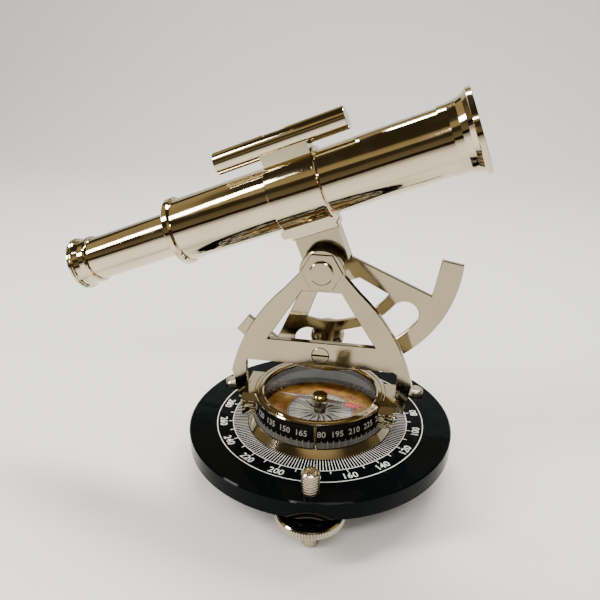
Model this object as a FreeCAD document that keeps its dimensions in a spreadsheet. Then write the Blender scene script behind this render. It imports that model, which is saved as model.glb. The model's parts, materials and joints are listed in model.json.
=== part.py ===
import FreeCAD, Part
import math
import os
import re

import Sketcher

# Theodolite with a compass box, an A-shaped standard and a tilting telescope.
# The origin is on the vertical axis, on the plane of the feet. +Z is up, +X runs along the
# standard towards the objective end, and the compass faces -Y. Sizes are in millimetres.

# Heights named *_level are measured up from the top face of the base plate.
# Depths named *_depth are measured along +Y from the vertical axis.
DIMENSIONS = {
    "plate_top": (22.0, "top face of the base plate above the feet"),
    "plate_radius": (51.0, "base plate"),
    "plate_thickness": (7.4, "base plate"),
    "bush_radius": (10.5, "centre bush, outside"),
    "spindle_radius": (8.0, "spindle under the turntable"),
    "running_gap": (0.05, "radial clearance of every running fit"),
    "face_gap": (0.1, "gap between faces that turn on each other"),
    "screw_circle": (44.8, "radius of the circle of levelling screws"),
    "screw_angle": (-84.7, "bearing of the front levelling screw"),
    "stud_radius": (3.2, "levelling screw"),
    "foot_radius": (2.95, "plain foot under the thread of a levelling screw"),
    "foot_height": (10.4, "plain foot under the thread of a levelling screw"),
    "front_stud_level": (8.2, "top of the front levelling screw"),
    "rear_stud_level": (2.2, "top of the two rear levelling screws"),
    "wheel_radius": (12.0, "thumb wheel"),
    "wheel_thickness": (3.0, "thumb wheel"),
    "wheel_drop": (0.45, "gap between a thumb wheel and the plate"),
    "skirt_radius": (28.1, "turntable, at its foot"),
    "skirt_rim": (26.25, "turntable, at the top of its bevel"),
    "skirt_level": (3.2, "top of the turntable"),
    "box_recess": (23.5, "recess for the compass box"),
    "band_foot": (25.9, "sloping scale band, at its foot"),
    "band_head": (24.9, "sloping scale band, at its head"),
    "band_level": (12.3, "head of the scale band"),
    "card_level": (2.9, "face of the compass card"),
    "card_radius": (22.3, "compass card"),
    "rose_radius": (12.8, "white rose inside the degree ring"),
    "glass_radius": (23.3, "compass glass"),
    "bezel_radius": (25.25, "bezel, outside"),
    "bezel_opening": (21.85, "bezel, inside"),
    "bezel_level": (13.1, "top of the bezel"),
    "needle_level": (7.7, "underside of the needle"),
    "needle_length": (33.6, "needle, tip to tip"),
    "needle_bearing": (-8.0, "direction of the needle's red end"),
    "bracket_face": (28.9, "outer face of each side bracket"),
    "bracket_foot": (4.6, "underside of the side brackets"),
    "bracket_half": (10.0, "half the length of a side bracket"),
    "leg_front": (-1.5, "front face of the standard"),
    "leg_back": (1.0, "back face of the standard"),
    "pivot_level": (61.7, "trunnion axis"),
    "apex_radius": (8.3, "rounded apex of the standard"),
    "pivot_radius": (3.0, "trunnion bolt"),
    "clamp_level": (28.1, "clamp screw axis"),
    "clamp_radius": (2.5, "clamp screw shank"),
    "tilt": (21.1, "rest elevation of the telescope"),
    "block_front": (5.0, "front face of the telescope bracket"),
    "sector_front": (12.0, "front face of the sector"),
    "sector_thickness": (2.0, "sector"),
    "sector_shift": (1.0, "centre of the sector's arcs, ahead of the trunnion"),
    "sector_rise": (2.8, "centre of the sector's arcs, above the trunnion"),
    "sector_radius": (50.3, "outer arc"),
    "slot_radius": (37.8, "middle of the clamp slot"),
    "slot_half": (5.3, "half the width of the clamp slot"),
    "slot_angle": (31.8, "half the sweep of the clamp slot"),
    "tube_depth": (9.5, "telescope axis behind the vertical axis"),
    "tube_rise": (28.4, "telescope axis above the trunnion"),
    "tube_radius": (11.9, "main tube, outside"),
    "tube_bore": (11.0, "main tube, inside"),
    "tube_tail": (-47.4, "eyepiece end of the main tube"),
    "tube_nose": (58.0, "objective end of the main tube"),
    "collar_radius": (12.9, "clamp collar round the main tube"),
    "draw_radius": (8.4, "draw tube, outside"),
    "draw_tail": (-88.2, "eyepiece end of the draw tube"),
    "draw_head": (-25.0, "inner end of the draw tube"),
    "eye_tail": (-95.3, "rim of the eyepiece cup"),
    "bell_start": (53.6, "back of the objective bell"),
    "bell_end": (65.7, "front of the objective bell"),
    "bell_radius": (15.0, "rim of the objective bell"),
    "level_rise": (47.2, "spirit level axis above the trunnion"),
    "level_radius": (4.2, "spirit level tube"),
    "level_tail": (-24.8, "eyepiece end of the level tube"),
    "level_nose": (24.0, "objective end of the level tube"),
}

doc = FreeCAD.newDocument("Theodolite")
sheet = doc.addObject("Spreadsheet::Sheet", "Dims")
for row, (alias, (value, note)) in enumerate(DIMENSIONS.items(), start=1):
    sheet.set("A%d" % row, alias)
    sheet.set("B%d" % row, str(value))
    sheet.set("C%d" % row, note)
    sheet.setAlias("B%d" % row, alias)
doc.recompute()

SUBPARTS = []


def bound(expression):
    """Return the expression with every dimension's name pointing at its cell."""
    def cell(match):
        word = match.group()
        return "Dims." + word if word in DIMENSIONS else word
    return re.sub(r"[a-z_]+", cell, str(expression))


def number(expression):
    """Return an expression's present value."""
    return float(sheet.evalExpression(bound(expression)))


def level(expression):
    """Turn a height above the base plate into a height above the feet."""
    return "plate_top + (%s)" % expression


def new_body(label):
    """Start a sub-part of its own."""
    body = doc.addObject("PartDesign::Body", label)
    body.Label = label
    SUBPARTS.append(body)
    return body


def new_sketch(body, role, offset="0"):
    """Attach a sketch to one of the body's own origin planes, moved along its normal."""
    sketch = body.newObject("Sketcher::SketchObject", body.Name + "_sketch")
    plane = next(item for item in body.Origin.OriginFeatures if item.Role == role)
    sketch.AttachmentSupport = [(plane, "")]
    sketch.MapMode = "FlatFace"
    sketch.AttachmentOffset = FreeCAD.Placement(
        FreeCAD.Vector(0, 0, number(offset)), FreeCAD.Rotation())
    sketch.setExpression("AttachmentOffset.Base.z", bound(offset))
    return sketch


def fix(sketch, kind, geometry, position, expression):
    """Hold one coordinate of a point at an expression, from the sketch's origin."""
    index = sketch.addConstraint(
        Sketcher.Constraint(kind, -1, 1, geometry, position, number(expression)))
    sketch.setExpression("Constraints[%d]" % index, bound(expression))


def arc_middle(start, end, radius, side):
    """Return the middle of the minor arc between two points, bulging left (1) or right (-1)."""
    chord = end - start
    half = chord.Length / 2
    sagitta = radius - math.sqrt(max(radius * radius - half * half, 0.0))
    left = FreeCAD.Vector(-chord.y, chord.x, 0).normalize()
    return start + chord * 0.5 + left * (sagitta * side)


def draw_loop(sketch, corners):
    """Draw a closed loop. A corner is (x, y), or (x, y, radius, side) when an arc leaves it."""
    points = [FreeCAD.Vector(number(corner[0]), number(corner[1]), 0) for corner in corners]
    first = sketch.GeometryCount
    count = len(corners)
    for index, corner in enumerate(corners):
        start = points[index]
        end = points[(index + 1) % count]
        if len(corner) == 4:
            middle = arc_middle(start, end, number(corner[2]), corner[3])
            sketch.addGeometry(Part.Arc(start, middle, end), False)
        else:
            sketch.addGeometry(Part.LineSegment(start, end), False)
    for index, corner in enumerate(corners):
        geometry = first + index
        start_position, end_position = edge_ends(sketch, geometry, points[index])
        following = first + (index + 1) % count
        next_start = edge_ends(sketch, following, points[(index + 1) % count])[0]
        sketch.addConstraint(
            Sketcher.Constraint("Coincident", geometry, end_position, following, next_start))
        fix(sketch, "DistanceX", geometry, start_position, corner[0])
        fix(sketch, "DistanceY", geometry, start_position, corner[1])
        if len(corner) == 4:
            radius = sketch.addConstraint(
                Sketcher.Constraint("Radius", geometry, number(corner[2])))
            sketch.setExpression("Constraints[%d]" % radius, bound(corner[2]))


def edge_ends(sketch, geometry, start):
    """Return the edge's end numbers, start first: an arc keeps its own anticlockwise order."""
    first_point = sketch.getPoint(geometry, 1)
    return (1, 2) if first_point.distanceToPoint(start) < 1e-6 else (2, 1)


def draw_circle(sketch, x, y, radius):
    """Draw a circle about a point."""
    geometry = sketch.addGeometry(
        Part.Circle(FreeCAD.Vector(number(x), number(y), 0), FreeCAD.Vector(0, 0, 1),
                    number(radius)), False)
    fix(sketch, "DistanceX", geometry, 3, x)
    fix(sketch, "DistanceY", geometry, 3, y)
    index = sketch.addConstraint(Sketcher.Constraint("Radius", geometry, number(radius)))
    sketch.setExpression("Constraints[%d]" % index, bound(radius))


def revolve(body, role, axis, corners, kind="PartDesign::Revolution", angle="360"):
    """Turn a profile round an axis of its sketch, adding or cutting."""
    sketch = new_sketch(body, role)
    draw_loop(sketch, corners)
    doc.recompute()
    feature = body.newObject(kind, body.Name + "_turned")
    feature.Profile = sketch
    feature.ReferenceAxis = (sketch, [axis])
    feature.Angle = number(angle)
    feature.setExpression("Angle", bound(angle))
    feature.Midplane = True
    doc.recompute()
    return feature


def turned_upright(label, corners, angle="360"):
    """Turn (radius, height) corners round the vertical axis."""
    body = new_body(label)
    revolve(body, "XZ_Plane", "V_Axis", corners, angle=angle)
    return body


def turned_along(label, corners):
    """Turn (station, radius) corners round the body's X axis."""
    body = new_body(label)
    revolve(body, "XZ_Plane", "H_Axis", corners)
    return body


def turned_across(label, corners):
    """Turn (radius, depth) corners round the body's Y axis."""
    body = new_body(label)
    revolve(body, "XY_Plane", "V_Axis", corners)
    return body


def pad(body, sketch, length, kind="PartDesign::Pad"):
    """Extrude a sketch along its normal, adding or cutting (a cut goes the other way)."""
    feature = body.newObject(kind, body.Name + "_extruded")
    feature.Profile = sketch
    feature.Length = number(length)
    feature.setExpression("Length", bound(length))
    doc.recompute()
    return feature


def plate(label, front, back, loops):
    """Extrude loops of (x, z) corners from one depth to another: the first is the outline."""
    body = new_body(label)
    sketch = new_sketch(body, "XZ_Plane", "-(%s)" % back)
    draw_loop(sketch, loops[0])
    pad(body, sketch, "(%s) - (%s)" % (back, front))
    for loop in loops[1:]:
        cut_through(body, front, back, loop)
    return body


def cut_through(body, front, back, loop):
    """Pocket one loop, or one circle (x, z, radius), through a plate."""
    sketch = new_sketch(body, "XZ_Plane", "-(%s)" % front)
    if isinstance(loop, tuple):
        draw_circle(sketch, *loop)
    else:
        draw_loop(sketch, loop)
    volume = body.Shape.Volume
    pad(body, sketch, "(%s) - (%s)" % (back, front), "PartDesign::Pocket")
    assert body.Shape.Volume < volume - 0.01, body.Label + ": a pocket cut nothing"


def break_edges(body, front, back, size):
    """Chamfer the outline and windows of a plate on both faces, leaving small bolt holes."""
    depths = (number(front), number(back))
    names = []
    for index, edge in enumerate(body.Shape.Edges, start=1):
        box = edge.BoundBox
        flat = any(abs(box.YMin - y) < 1e-4 and abs(box.YMax - y) < 1e-4 for y in depths)
        hole = isinstance(edge.Curve, Part.Circle) and edge.isClosed()
        if flat and not hole:
            names.append("Edge%d" % index)
    solid = body.Tip
    chamfer = body.newObject("PartDesign::Chamfer", body.Name + "_edges")
    chamfer.Base = (solid, names)
    chamfer.Size = number(size)
    doc.recompute()


def place(body, x="0", y="0", z="0", turn="0", about=(0, 0, 1)):
    """Move a body to a point and turn it about an axis through that point."""
    body.Placement = FreeCAD.Placement(
        FreeCAD.Vector(number(x), number(y), number(z)),
        FreeCAD.Rotation(FreeCAD.Vector(*about), number(turn)))
    for part, expression in (("Base.x", x), ("Base.y", y), ("Base.z", z), ("Rotation.Angle", turn)):
        if number(turn) or part.startswith("Base"):
            body.setExpression("Placement." + part, bound(expression))
    return body


def place_on_telescope(body, rise="0", depth="0"):
    """Put a body drawn along X into the telescope's frame, tilted about the trunnion."""
    return place(body, "-(%s) * sin(tilt)" % rise, depth,
                 level("pivot_level + (%s) * cos(tilt)" % rise), "tilt", (0, -1, 0))


def group(label, master, placements):
    """Make one node of identical pieces, each a separate solid."""
    copies = []
    for placement in placements:
        copy = master.Shape.copy()
        copy.Placement = placement.multiply(copy.Placement)
        copies.append(copy)
    item = doc.addObject("Part::Feature", label)
    item.Label = label
    item.Shape = Part.makeCompound(copies)
    SUBPARTS.append(item)
    SUBPARTS.remove(master)
    return item


def screw_seat(index):
    """Return the (x, y) expressions of one of the three levelling screws."""
    bearing = "screw_angle + %d" % (120 * index)
    return "screw_circle * cos(%s)" % bearing, "screw_circle * sin(%s)" % bearing


# ---------------------------------------------------------------- base
def build_base():
    """Base disc with its centre bush."""
    under = level("-plate_thickness")
    body = turned_upright("base_plate", [
        ("bush_radius", under),
        ("plate_radius - 0.5", under),
        ("plate_radius", under + " + 0.5"),
        ("plate_radius", "plate_top - 0.5"),
        ("plate_radius - 0.5", "plate_top"),
        ("bush_radius", "plate_top"),
    ])
    for index in range(3):
        x, y = screw_seat(index)
        sketch = new_sketch(body, "XY_Plane", "plate_top")
        draw_circle(sketch, x, y, "stud_radius + running_gap")
        pad(body, sketch, "plate_thickness", "PartDesign::Pocket")
    turned_upright("centre_bush", [
        ("spindle_radius + running_gap", under),
        ("bush_radius", under),
        ("bush_radius", "plate_top"),
        ("spindle_radius + running_gap", "plate_top"),
    ])


def build_levelling():
    """Three levelling screws, each standing on its foot, and their thumb wheels."""
    tops = {"front": "front_stud_level", "right": "rear_stud_level", "left": "rear_stud_level"}
    for index, (side, top) in enumerate(tops.items()):
        x, y = screw_seat(index)
        stud = turned_upright("levelling_screw_" + side, [
            ("0", "0"),
            ("foot_radius - 0.45", "0"),
            ("foot_radius", "0.45"),
            ("foot_radius", "foot_height"),
            ("stud_radius", "foot_height + 0.25"),
            ("stud_radius", level(top + " - 1.0")),
            ("stud_radius - 0.8", level(top + " - 0.2")),
            ("stud_radius - 1.4", level(top)),
            ("0", level(top)),
        ])
        place(stud, x, y)
        wheel_top = level("-plate_thickness - wheel_drop")
        wheel = turned_upright("thumb_wheel_" + side, [
            ("stud_radius + running_gap", wheel_top + " - wheel_thickness"),
            ("wheel_radius - 0.4", wheel_top + " - wheel_thickness"),
            ("wheel_radius", wheel_top + " - wheel_thickness + 0.4"),
            ("wheel_radius", wheel_top + " - 0.4"),
            ("wheel_radius - 0.4", wheel_top),
            ("stud_radius + running_gap", wheel_top),
        ])
        place(wheel, x, y)


# ---------------------------------------------------------------- compass and turntable
def build_turntable():
    """Turntable with its spindle, held under the base by a washer and a screw."""
    spindle_end = level("-plate_thickness - face_gap")
    turned_upright("turntable", [
        ("0", level("-1.5")),
        ("2.0", level("-1.5")),
        ("2.0", spindle_end),
        ("spindle_radius", spindle_end),
        ("spindle_radius", level("face_gap")),
        ("skirt_radius", level("face_gap")),
        ("skirt_radius", level("0.5")),
        ("skirt_rim", level("skirt_level - 0.1")),
        ("skirt_rim - 0.15", level("skirt_level")),
        ("box_recess", level("skirt_level")),
        ("box_recess", level("1.0")),
        ("0", level("1.0")),
    ])
    turned_upright("retaining_washer", [
        ("2.0", spindle_end + " - 1.5"),
        ("13.0", spindle_end + " - 1.5"),
        ("13.0", spindle_end),
        ("2.0", spindle_end),
    ])
    turned_upright("retaining_screw", [
        ("0", spindle_end + " - 4.0"),
        ("3.6", spindle_end + " - 4.0"),
        ("4.2", spindle_end + " - 3.4"),
        ("4.2", spindle_end + " - 1.5"),
        ("2.0", spindle_end + " - 1.5"),
        ("2.0", level("-1.7")),
        ("0", level("-1.7")),
    ])


def build_compass():
    """Compass box, card, pivot, glass, bezel and the scale's index."""
    turned_upright("compass_box", [
        ("0", level("1.0")),
        ("box_recess", level("1.0")),
        ("box_recess", level("skirt_level")),
        ("band_foot", level("skirt_level")),
        ("band_head", level("band_level")),
        ("glass_radius", level("band_level")),
        ("glass_radius", level("band_level - 1.3")),
        ("card_radius + 0.1", level("band_level - 1.3")),
        ("card_radius + 0.1", level("card_level - 0.5")),
        ("0", level("card_level - 0.5")),
    ])
    turned_upright("degree_ring", [
        ("rose_radius", level("card_level - 0.5")),
        ("card_radius", level("card_level - 0.5")),
        ("card_radius", level("card_level")),
        ("rose_radius", level("card_level")),
    ])
    turned_upright("compass_rose", [
        ("1.5", level("card_level - 0.5")),
        ("rose_radius", level("card_level - 0.5")),
        ("rose_radius", level("card_level")),
        ("1.5", level("card_level")),
    ])
    turned_upright("needle_pivot", [
        ("0", level("card_level - 0.5")),
        ("1.45", level("card_level - 0.5")),
        ("1.45", level("card_level")),
        ("2.4", level("card_level")),
        ("2.4", level("card_level + 1.9")),
        ("2.2", level("card_level + 2.1")),
        ("0.6", level("card_level + 2.1")),
        ("0.5", level("needle_level + 0.4")),
        ("0", level("needle_level + 1.2")),
    ])
    turned_upright("compass_glass", [
        ("0", level("band_level - 1.3")),
        ("glass_radius", level("band_level - 1.3")),
        ("glass_radius", level("band_level - 0.2")),
        ("0", level("band_level - 0.2")),
    ])
    turned_upright("bezel", [
        ("bezel_opening", level("band_level - 0.2")),
        ("glass_radius", level("band_level - 0.2")),
        ("glass_radius", level("band_level")),
        ("bezel_radius", level("band_level")),
        ("bezel_radius", level("bezel_level - 0.3")),
        ("bezel_radius - 0.3", level("bezel_level")),
        ("bezel_radius - 1.2", level("bezel_level")),
        ("bezel_radius - 1.45", level("bezel_level - 0.35")),
        ("bezel_radius - 1.7", level("bezel_level")),
        ("bezel_opening + 0.5", level("bezel_level")),
        ("bezel_opening", level("bezel_level - 0.4")),
    ])
    index = turned_upright("scale_index", [
        ("band_foot", level("skirt_level")),
        ("band_foot + 0.35", level("skirt_level")),
        ("band_head + 0.35", level("band_level")),
        ("band_head", level("band_level")),
    ], angle="2.4")
    place(index, turn="screw_angle")


def build_needle():
    """Magnetic needle under its brass cap."""
    needle = new_body("compass_needle")
    sketch = new_sketch(needle, "XY_Plane", level("needle_level"))
    draw_loop(sketch, [
        ("-needle_length / 2", "0"),
        ("-2.3", "-1.5"),
        ("2.3", "-1.4"),
        ("needle_length * 0.42", "-1.2"),
        ("needle_length / 2", "0"),
        ("needle_length * 0.42", "1.2"),
        ("2.3", "1.4"),
        ("-2.3", "1.5"),
    ])
    draw_circle(sketch, "0", "0", "0.8")
    doc.recompute()
    pad(needle, sketch, "0.4")
    place(needle, turn="needle_bearing")
    turned_upright("needle_cap", [
        ("0.8", level("needle_level + 0.4")),
        ("2.7", level("needle_level + 0.4")),
        ("2.95", level("needle_level + 0.6")),
        ("2.95", level("needle_level + 1.0")),
        ("2.4", level("needle_level + 1.2")),
        ("2.4", level("needle_level + 1.6")),
        ("2.95", level("needle_level + 1.8")),
        ("2.95", level("needle_level + 2.5")),
        ("2.6", level("needle_level + 2.9")),
        ("0", level("needle_level + 3.0")),
        ("0", level("needle_level + 1.25")),
    ])


# ---------------------------------------------------------------- standard
BRACKET_PROFILE = [
    ("10.0", "0"), ("10.0", "2.0"), ("9.4", "2.3"), ("9.4", "2.9"), ("10.0", "3.2"),
    ("10.0", "4.4"), ("9.2", "4.8"), ("9.2", "5.4"), ("9.5", "5.8"), ("8.4", "8.4"),
]


def build_brackets():
    """Moulded brackets that hold the legs of the standard against the compass box."""
    screw = turned_along("bracket_screws_master", [
        ("0", "0"), ("0", "0.9"), ("3.0", "0.9"), ("3.0", "1.7"), ("3.6", "1.6"),
        ("4.2", "1.1"), ("4.4", "0.5"), ("4.4", "0"),
    ])
    seats = []
    for side, sign in (("left", -1), ("right", 1)):
        body = new_body("bracket_" + side)
        inner = "22.0" if sign > 0 else "-bracket_face"
        sketch = new_sketch(body, "YZ_Plane", inner)
        right_half = [("%s" % y, level("bracket_foot + %s" % z)) for y, z in BRACKET_PROFILE]
        left_half = [("-" + y, z) for y, z in reversed(right_half)]
        draw_loop(sketch, right_half + left_half)
        pad(body, sketch, "bracket_face - 22.0")
        revolve(body, "XZ_Plane", "V_Axis", [
            ("0", level("skirt_level")),
            ("band_foot", level("skirt_level")),
            ("band_head", level("band_level")),
            ("bezel_radius + 0.05", level("band_level")),
            ("bezel_radius + 0.05", level("bezel_level + 1.0")),
            ("0", level("bezel_level + 1.0")),
        ], "PartDesign::Groove")
        slot = new_sketch(body, "XY_Plane", level("bezel_level"))
        near, far = ("28.0", "bracket_face") if sign > 0 else ("-bracket_face", "-28.0")
        draw_loop(slot, [(near, "leg_front"), (far, "leg_front"), (far, "leg_back"),
                         (near, "leg_back")])
        pad(body, slot, "bezel_level - 6.3", "PartDesign::Pocket")
        for y in ("-6.8", "6.8"):
            hole = new_sketch(body, "YZ_Plane", "bracket_face" if sign > 0 else "-bracket_face")
            draw_circle(hole, y, level("7.4"), "0.9")
            feature = pad(body, hole, "3.0", "PartDesign::Pocket")
            if sign < 0:
                feature.Reversed = True
                doc.recompute()
            seats.append(FreeCAD.Placement(
                FreeCAD.Vector(sign * (number("bracket_face") - 3.0), number(y),
                               number(level("7.4"))),
                FreeCAD.Rotation(FreeCAD.Vector(0, 0, 1), 0 if sign > 0 else 180)))
    group("bracket_screws", screw, seats)


def build_standard():
    """A-shaped standard, cut from flat plate."""
    shoulder = ("34.9", level("18.5"))
    haunch = ("14.1", level("54.4"))
    neck_x = "apex_radius * cos(5)"
    neck_z = level("pivot_level - apex_radius * sin(5)")
    left_shoulder = ("-34.9", level("18.5"))
    left_haunch = ("-14.1", level("54.4"))
    corner = "1.3"
    outline = [
        ("28.0", level("6.3")),
        ("32.4", level("6.3")),
        shoulder + ("71.0", -1),
        haunch,
        (neck_x, neck_z, "apex_radius", -1),
        ("0", level("pivot_level + apex_radius"), "apex_radius", -1),
        ("-" + neck_x, neck_z),
        left_haunch + ("71.0", -1),
        left_shoulder,
        ("-32.4", level("6.3")),
        ("-28.0", level("6.3")),
        ("-28.0", level("bezel_level")),
        ("-28.9", level("bezel_level")),
        ("-28.9", level("23.7 - " + corner), corner, 1),
        ("-28.9 + " + corner, level("23.7")),
        ("28.9 - " + corner, level("23.7"), corner, 1),
        ("28.9", level("23.7 - " + corner)),
        ("28.9", level("bezel_level")),
        ("28.0", level("bezel_level")),
    ]
    window = [
        ("-20.4", level("33.4")),
        ("20.4", level("33.4")),
        ("7.2", level("54.0")),
        ("-7.2", level("54.0")),
    ]
    body = plate("standard", "leg_front", "leg_back", [outline, window])
    cut_through(body, "leg_front", "leg_back", ("0", level("pivot_level"), "pivot_radius"))
    cut_through(body, "leg_front", "leg_back", ("0", level("clamp_level"), "clamp_radius"))
    cut_through(body, "leg_front", "leg_front + 1.4", ("0", level("clamp_level"), "3.5"))
    break_edges(body, "leg_front", "leg_back", "0.25")


def build_pivot():
    """Trunnion bolt, its spacer and its nut, and the clamp screw with its knob."""
    sector_back = "sector_front + sector_thickness"
    pivot = {"z": level("pivot_level")}
    clamp = {"z": level("clamp_level")}
    corners = [("7.8 * cos(%d)" % angle, "7.8 * sin(%d)" % angle) for angle in range(0, 360, 60)]
    washer = plate("pivot_washer", "leg_front - 0.6", "leg_front", [corners])
    cut_through(washer, "leg_front - 0.6", "leg_front", ("0", "0", "pivot_radius"))
    break_edges(washer, "leg_front - 0.6", "leg_front - 0.6", "0.2")
    place(washer, **pivot)
    place(turned_across("pivot_bolt", [
        ("0", "leg_front - 1.7"),
        ("4.0", "leg_front - 1.7"),
        ("4.4", "leg_front - 1.4"),
        ("4.4", "leg_front - 0.6"),
        ("pivot_radius", "leg_front - 0.6"),
        ("pivot_radius", sector_back + " + 4.0"),
        ("0", sector_back + " + 4.0"),
    ]), **pivot)
    place(turned_across("pivot_spacer", [
        ("pivot_radius", "leg_back"),
        ("6.5", "leg_back"),
        ("6.5", "block_front - face_gap"),
        ("pivot_radius", "block_front - face_gap"),
    ]), **pivot)
    place(turned_across("pivot_nut", [
        ("pivot_radius", sector_back + " + face_gap"),
        ("5.5", sector_back + " + face_gap"),
        ("5.5", sector_back + " + 2.6"),
        ("5.0", sector_back + " + 3.0"),
        ("pivot_radius", sector_back + " + 3.0"),
    ]), **pivot)
    screw = place(turned_across("clamp_screw", [
        ("0", "leg_front"),
        ("3.1", "leg_front"),
        ("3.4", "leg_front + 0.3"),
        ("3.4", "leg_front + 1.4"),
        ("clamp_radius", "leg_front + 1.4"),
        ("clamp_radius", sector_back + " + 7.5"),
        ("0", sector_back + " + 7.5"),
    ]), **clamp)
    cut_through(screw, "leg_front", "leg_front + 0.9", [
        ("-4.0", "-0.4"), ("4.0", "-0.4"), ("4.0", "0.4"), ("-4.0", "0.4"),
    ])
    place(turned_across("clamp_knob", [
        ("clamp_radius + running_gap", sector_back + " + face_gap"),
        ("5.6", sector_back + " + face_gap"),
        ("6.3", sector_back + " + 0.6"),
        ("6.3", sector_back + " + 5.6"),
        ("5.6", sector_back + " + 6.2"),
        ("clamp_radius + running_gap", sector_back + " + 6.2"),
    ]), **clamp)


# ---------------------------------------------------------------- telescope
def on_arc(radius, angle, side=1):
    """Return a point of the sector, its angle measured from straight down."""
    x = "sector_shift %s (%s) * sin(%s)" % ("+" if side > 0 else "-", radius, angle)
    return x, "sector_rise - (%s) * cos(%s)" % (radius, angle)


def from_sector(x, z):
    """Return a point given from the centre of the sector's arcs."""
    return "sector_shift + (%s)" % x, "sector_rise + (%s)" % z


def build_sector():
    """Anchor-shaped sector plate with a window and a curved clamp slot."""
    hook = "67"
    outline = [
        from_sector("8.4", "9.0"),
        from_sector("-8.4", "9.0"),
        from_sector("-8.4", "-4.5"),
        from_sector("-31.7", "-27.8"),
        from_sector("-39.4", "-15.4"),
        on_arc("sector_radius", hook, -1) + ("sector_radius", -1),
        on_arc("sector_radius", "0") + ("sector_radius", -1),
        on_arc("sector_radius", hook),
        from_sector("39.4", "-15.4"),
        from_sector("31.7", "-27.8"),
        from_sector("8.4", "-4.5"),
    ]
    window = [
        from_sector("8.3", "-13.0"),
        from_sector("-8.3", "-13.0"),
        on_arc("28.2", "36.5", -1) + ("28.2", -1),
        on_arc("28.2", "36.5"),
    ]
    inner = "slot_radius - slot_half"
    outer = "slot_radius + slot_half"
    slot = [
        on_arc(inner, "slot_angle") + (inner, 1),
        on_arc(inner, "slot_angle", -1) + ("slot_half", -1),
        on_arc("slot_radius", "slot_angle + 8.03", -1) + ("slot_half", -1),
        on_arc(outer, "slot_angle", -1) + (outer, -1),
        on_arc(outer, "slot_angle") + ("slot_half", -1),
        on_arc("slot_radius", "slot_angle + 8.03") + ("slot_half", -1),
    ]
    back = "sector_front + sector_thickness"
    body = plate("sector", "sector_front", back, [outline, window, slot])
    cut_through(body, "sector_front", back, ("0", "0", "pivot_radius + running_gap"))
    for x in ("-4.5", "4.5"):
        cut_through(body, "sector_front", back, ("sector_shift + %s" % x, "7.6", "1.0"))
    break_edges(body, "sector_front", back, "0.25")
    place_on_telescope(body)


def build_bracket():
    """Telescope bracket: trunnion block, stepped cap and saddle."""
    block = plate("trunnion_block", "block_front", "sector_front", [[
        ("-7.0", "12.8"),
        ("-7.0", "0", "8.3", 1),
        ("1.3", "-8.3", "8.3", 1),
        ("9.6", "0"),
        ("9.6", "12.8"),
    ]])
    cut_through(block, "block_front", "sector_front", ("0", "0", "pivot_radius + running_gap"))
    for x in ("-4.5", "4.5"):
        cut_through(block, "sector_front - 4.0", "sector_front",
                    ("sector_shift + %s" % x, "7.6", "1.0"))
    place_on_telescope(block)
    cap = plate("block_cap", "block_front - 0.8", "sector_front + 1.8", [[
        ("-7.8", "12.8"), ("10.4", "12.8"), ("10.4", "14.6"), ("-7.8", "14.6"),
    ]])
    break_edges(cap, "block_front - 0.8", "sector_front + 1.8", "0.3")
    place_on_telescope(cap)
    saddle = plate("saddle", "tube_depth - 8.0", "tube_depth + 8.0", [[
        ("-10.0", "15.4"), ("-9.2", "14.6"), ("9.8", "14.6"), ("10.6", "15.4"),
        ("10.6", "17.2"), ("9.8", "18.0"), ("-9.2", "18.0"), ("-10.0", "17.2"),
    ]])
    place_on_telescope(saddle)
    trim_to_tube(saddle, "-12", "12", "collar_radius", "tube_rise")
    trim_to_tube(saddle, "9.3", "12", "collar_radius + 0.65", "tube_rise")
    screw = turned_across("sector_screws_master", [
        ("0", "-3.8"), ("1.0", "-3.8"), ("1.0", "sector_thickness"), ("2.0", "sector_thickness"),
        ("2.0", "sector_thickness + 0.6"), ("1.4", "sector_thickness + 1.2"),
        ("0", "sector_thickness + 1.2"),
    ])
    tilted = FreeCAD.Placement(FreeCAD.Vector(0, 0, number(level("pivot_level"))),
                               FreeCAD.Rotation(FreeCAD.Vector(0, -1, 0), number("tilt")))
    seats = []
    for x in (-4.5, 4.5):
        seats.append(tilted.multiply(FreeCAD.Placement(
            FreeCAD.Vector(number("sector_shift") + x, number("sector_front"), 7.6),
            FreeCAD.Rotation())))
    group("sector_screws", screw, seats)


def trim_to_tube(body, start, end, radius, rise):
    """Groove a seat for a tube that lies along the telescope above the body's origin."""
    seat = new_sketch(body, "YZ_Plane", end)
    draw_circle(seat, "tube_depth", rise, radius)
    volume = body.Shape.Volume
    pad(body, seat, "(%s) - (%s)" % (end, start), "PartDesign::Pocket")
    assert body.Shape.Volume < volume - 0.01, body.Label + ": its seat cut nothing"


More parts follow.
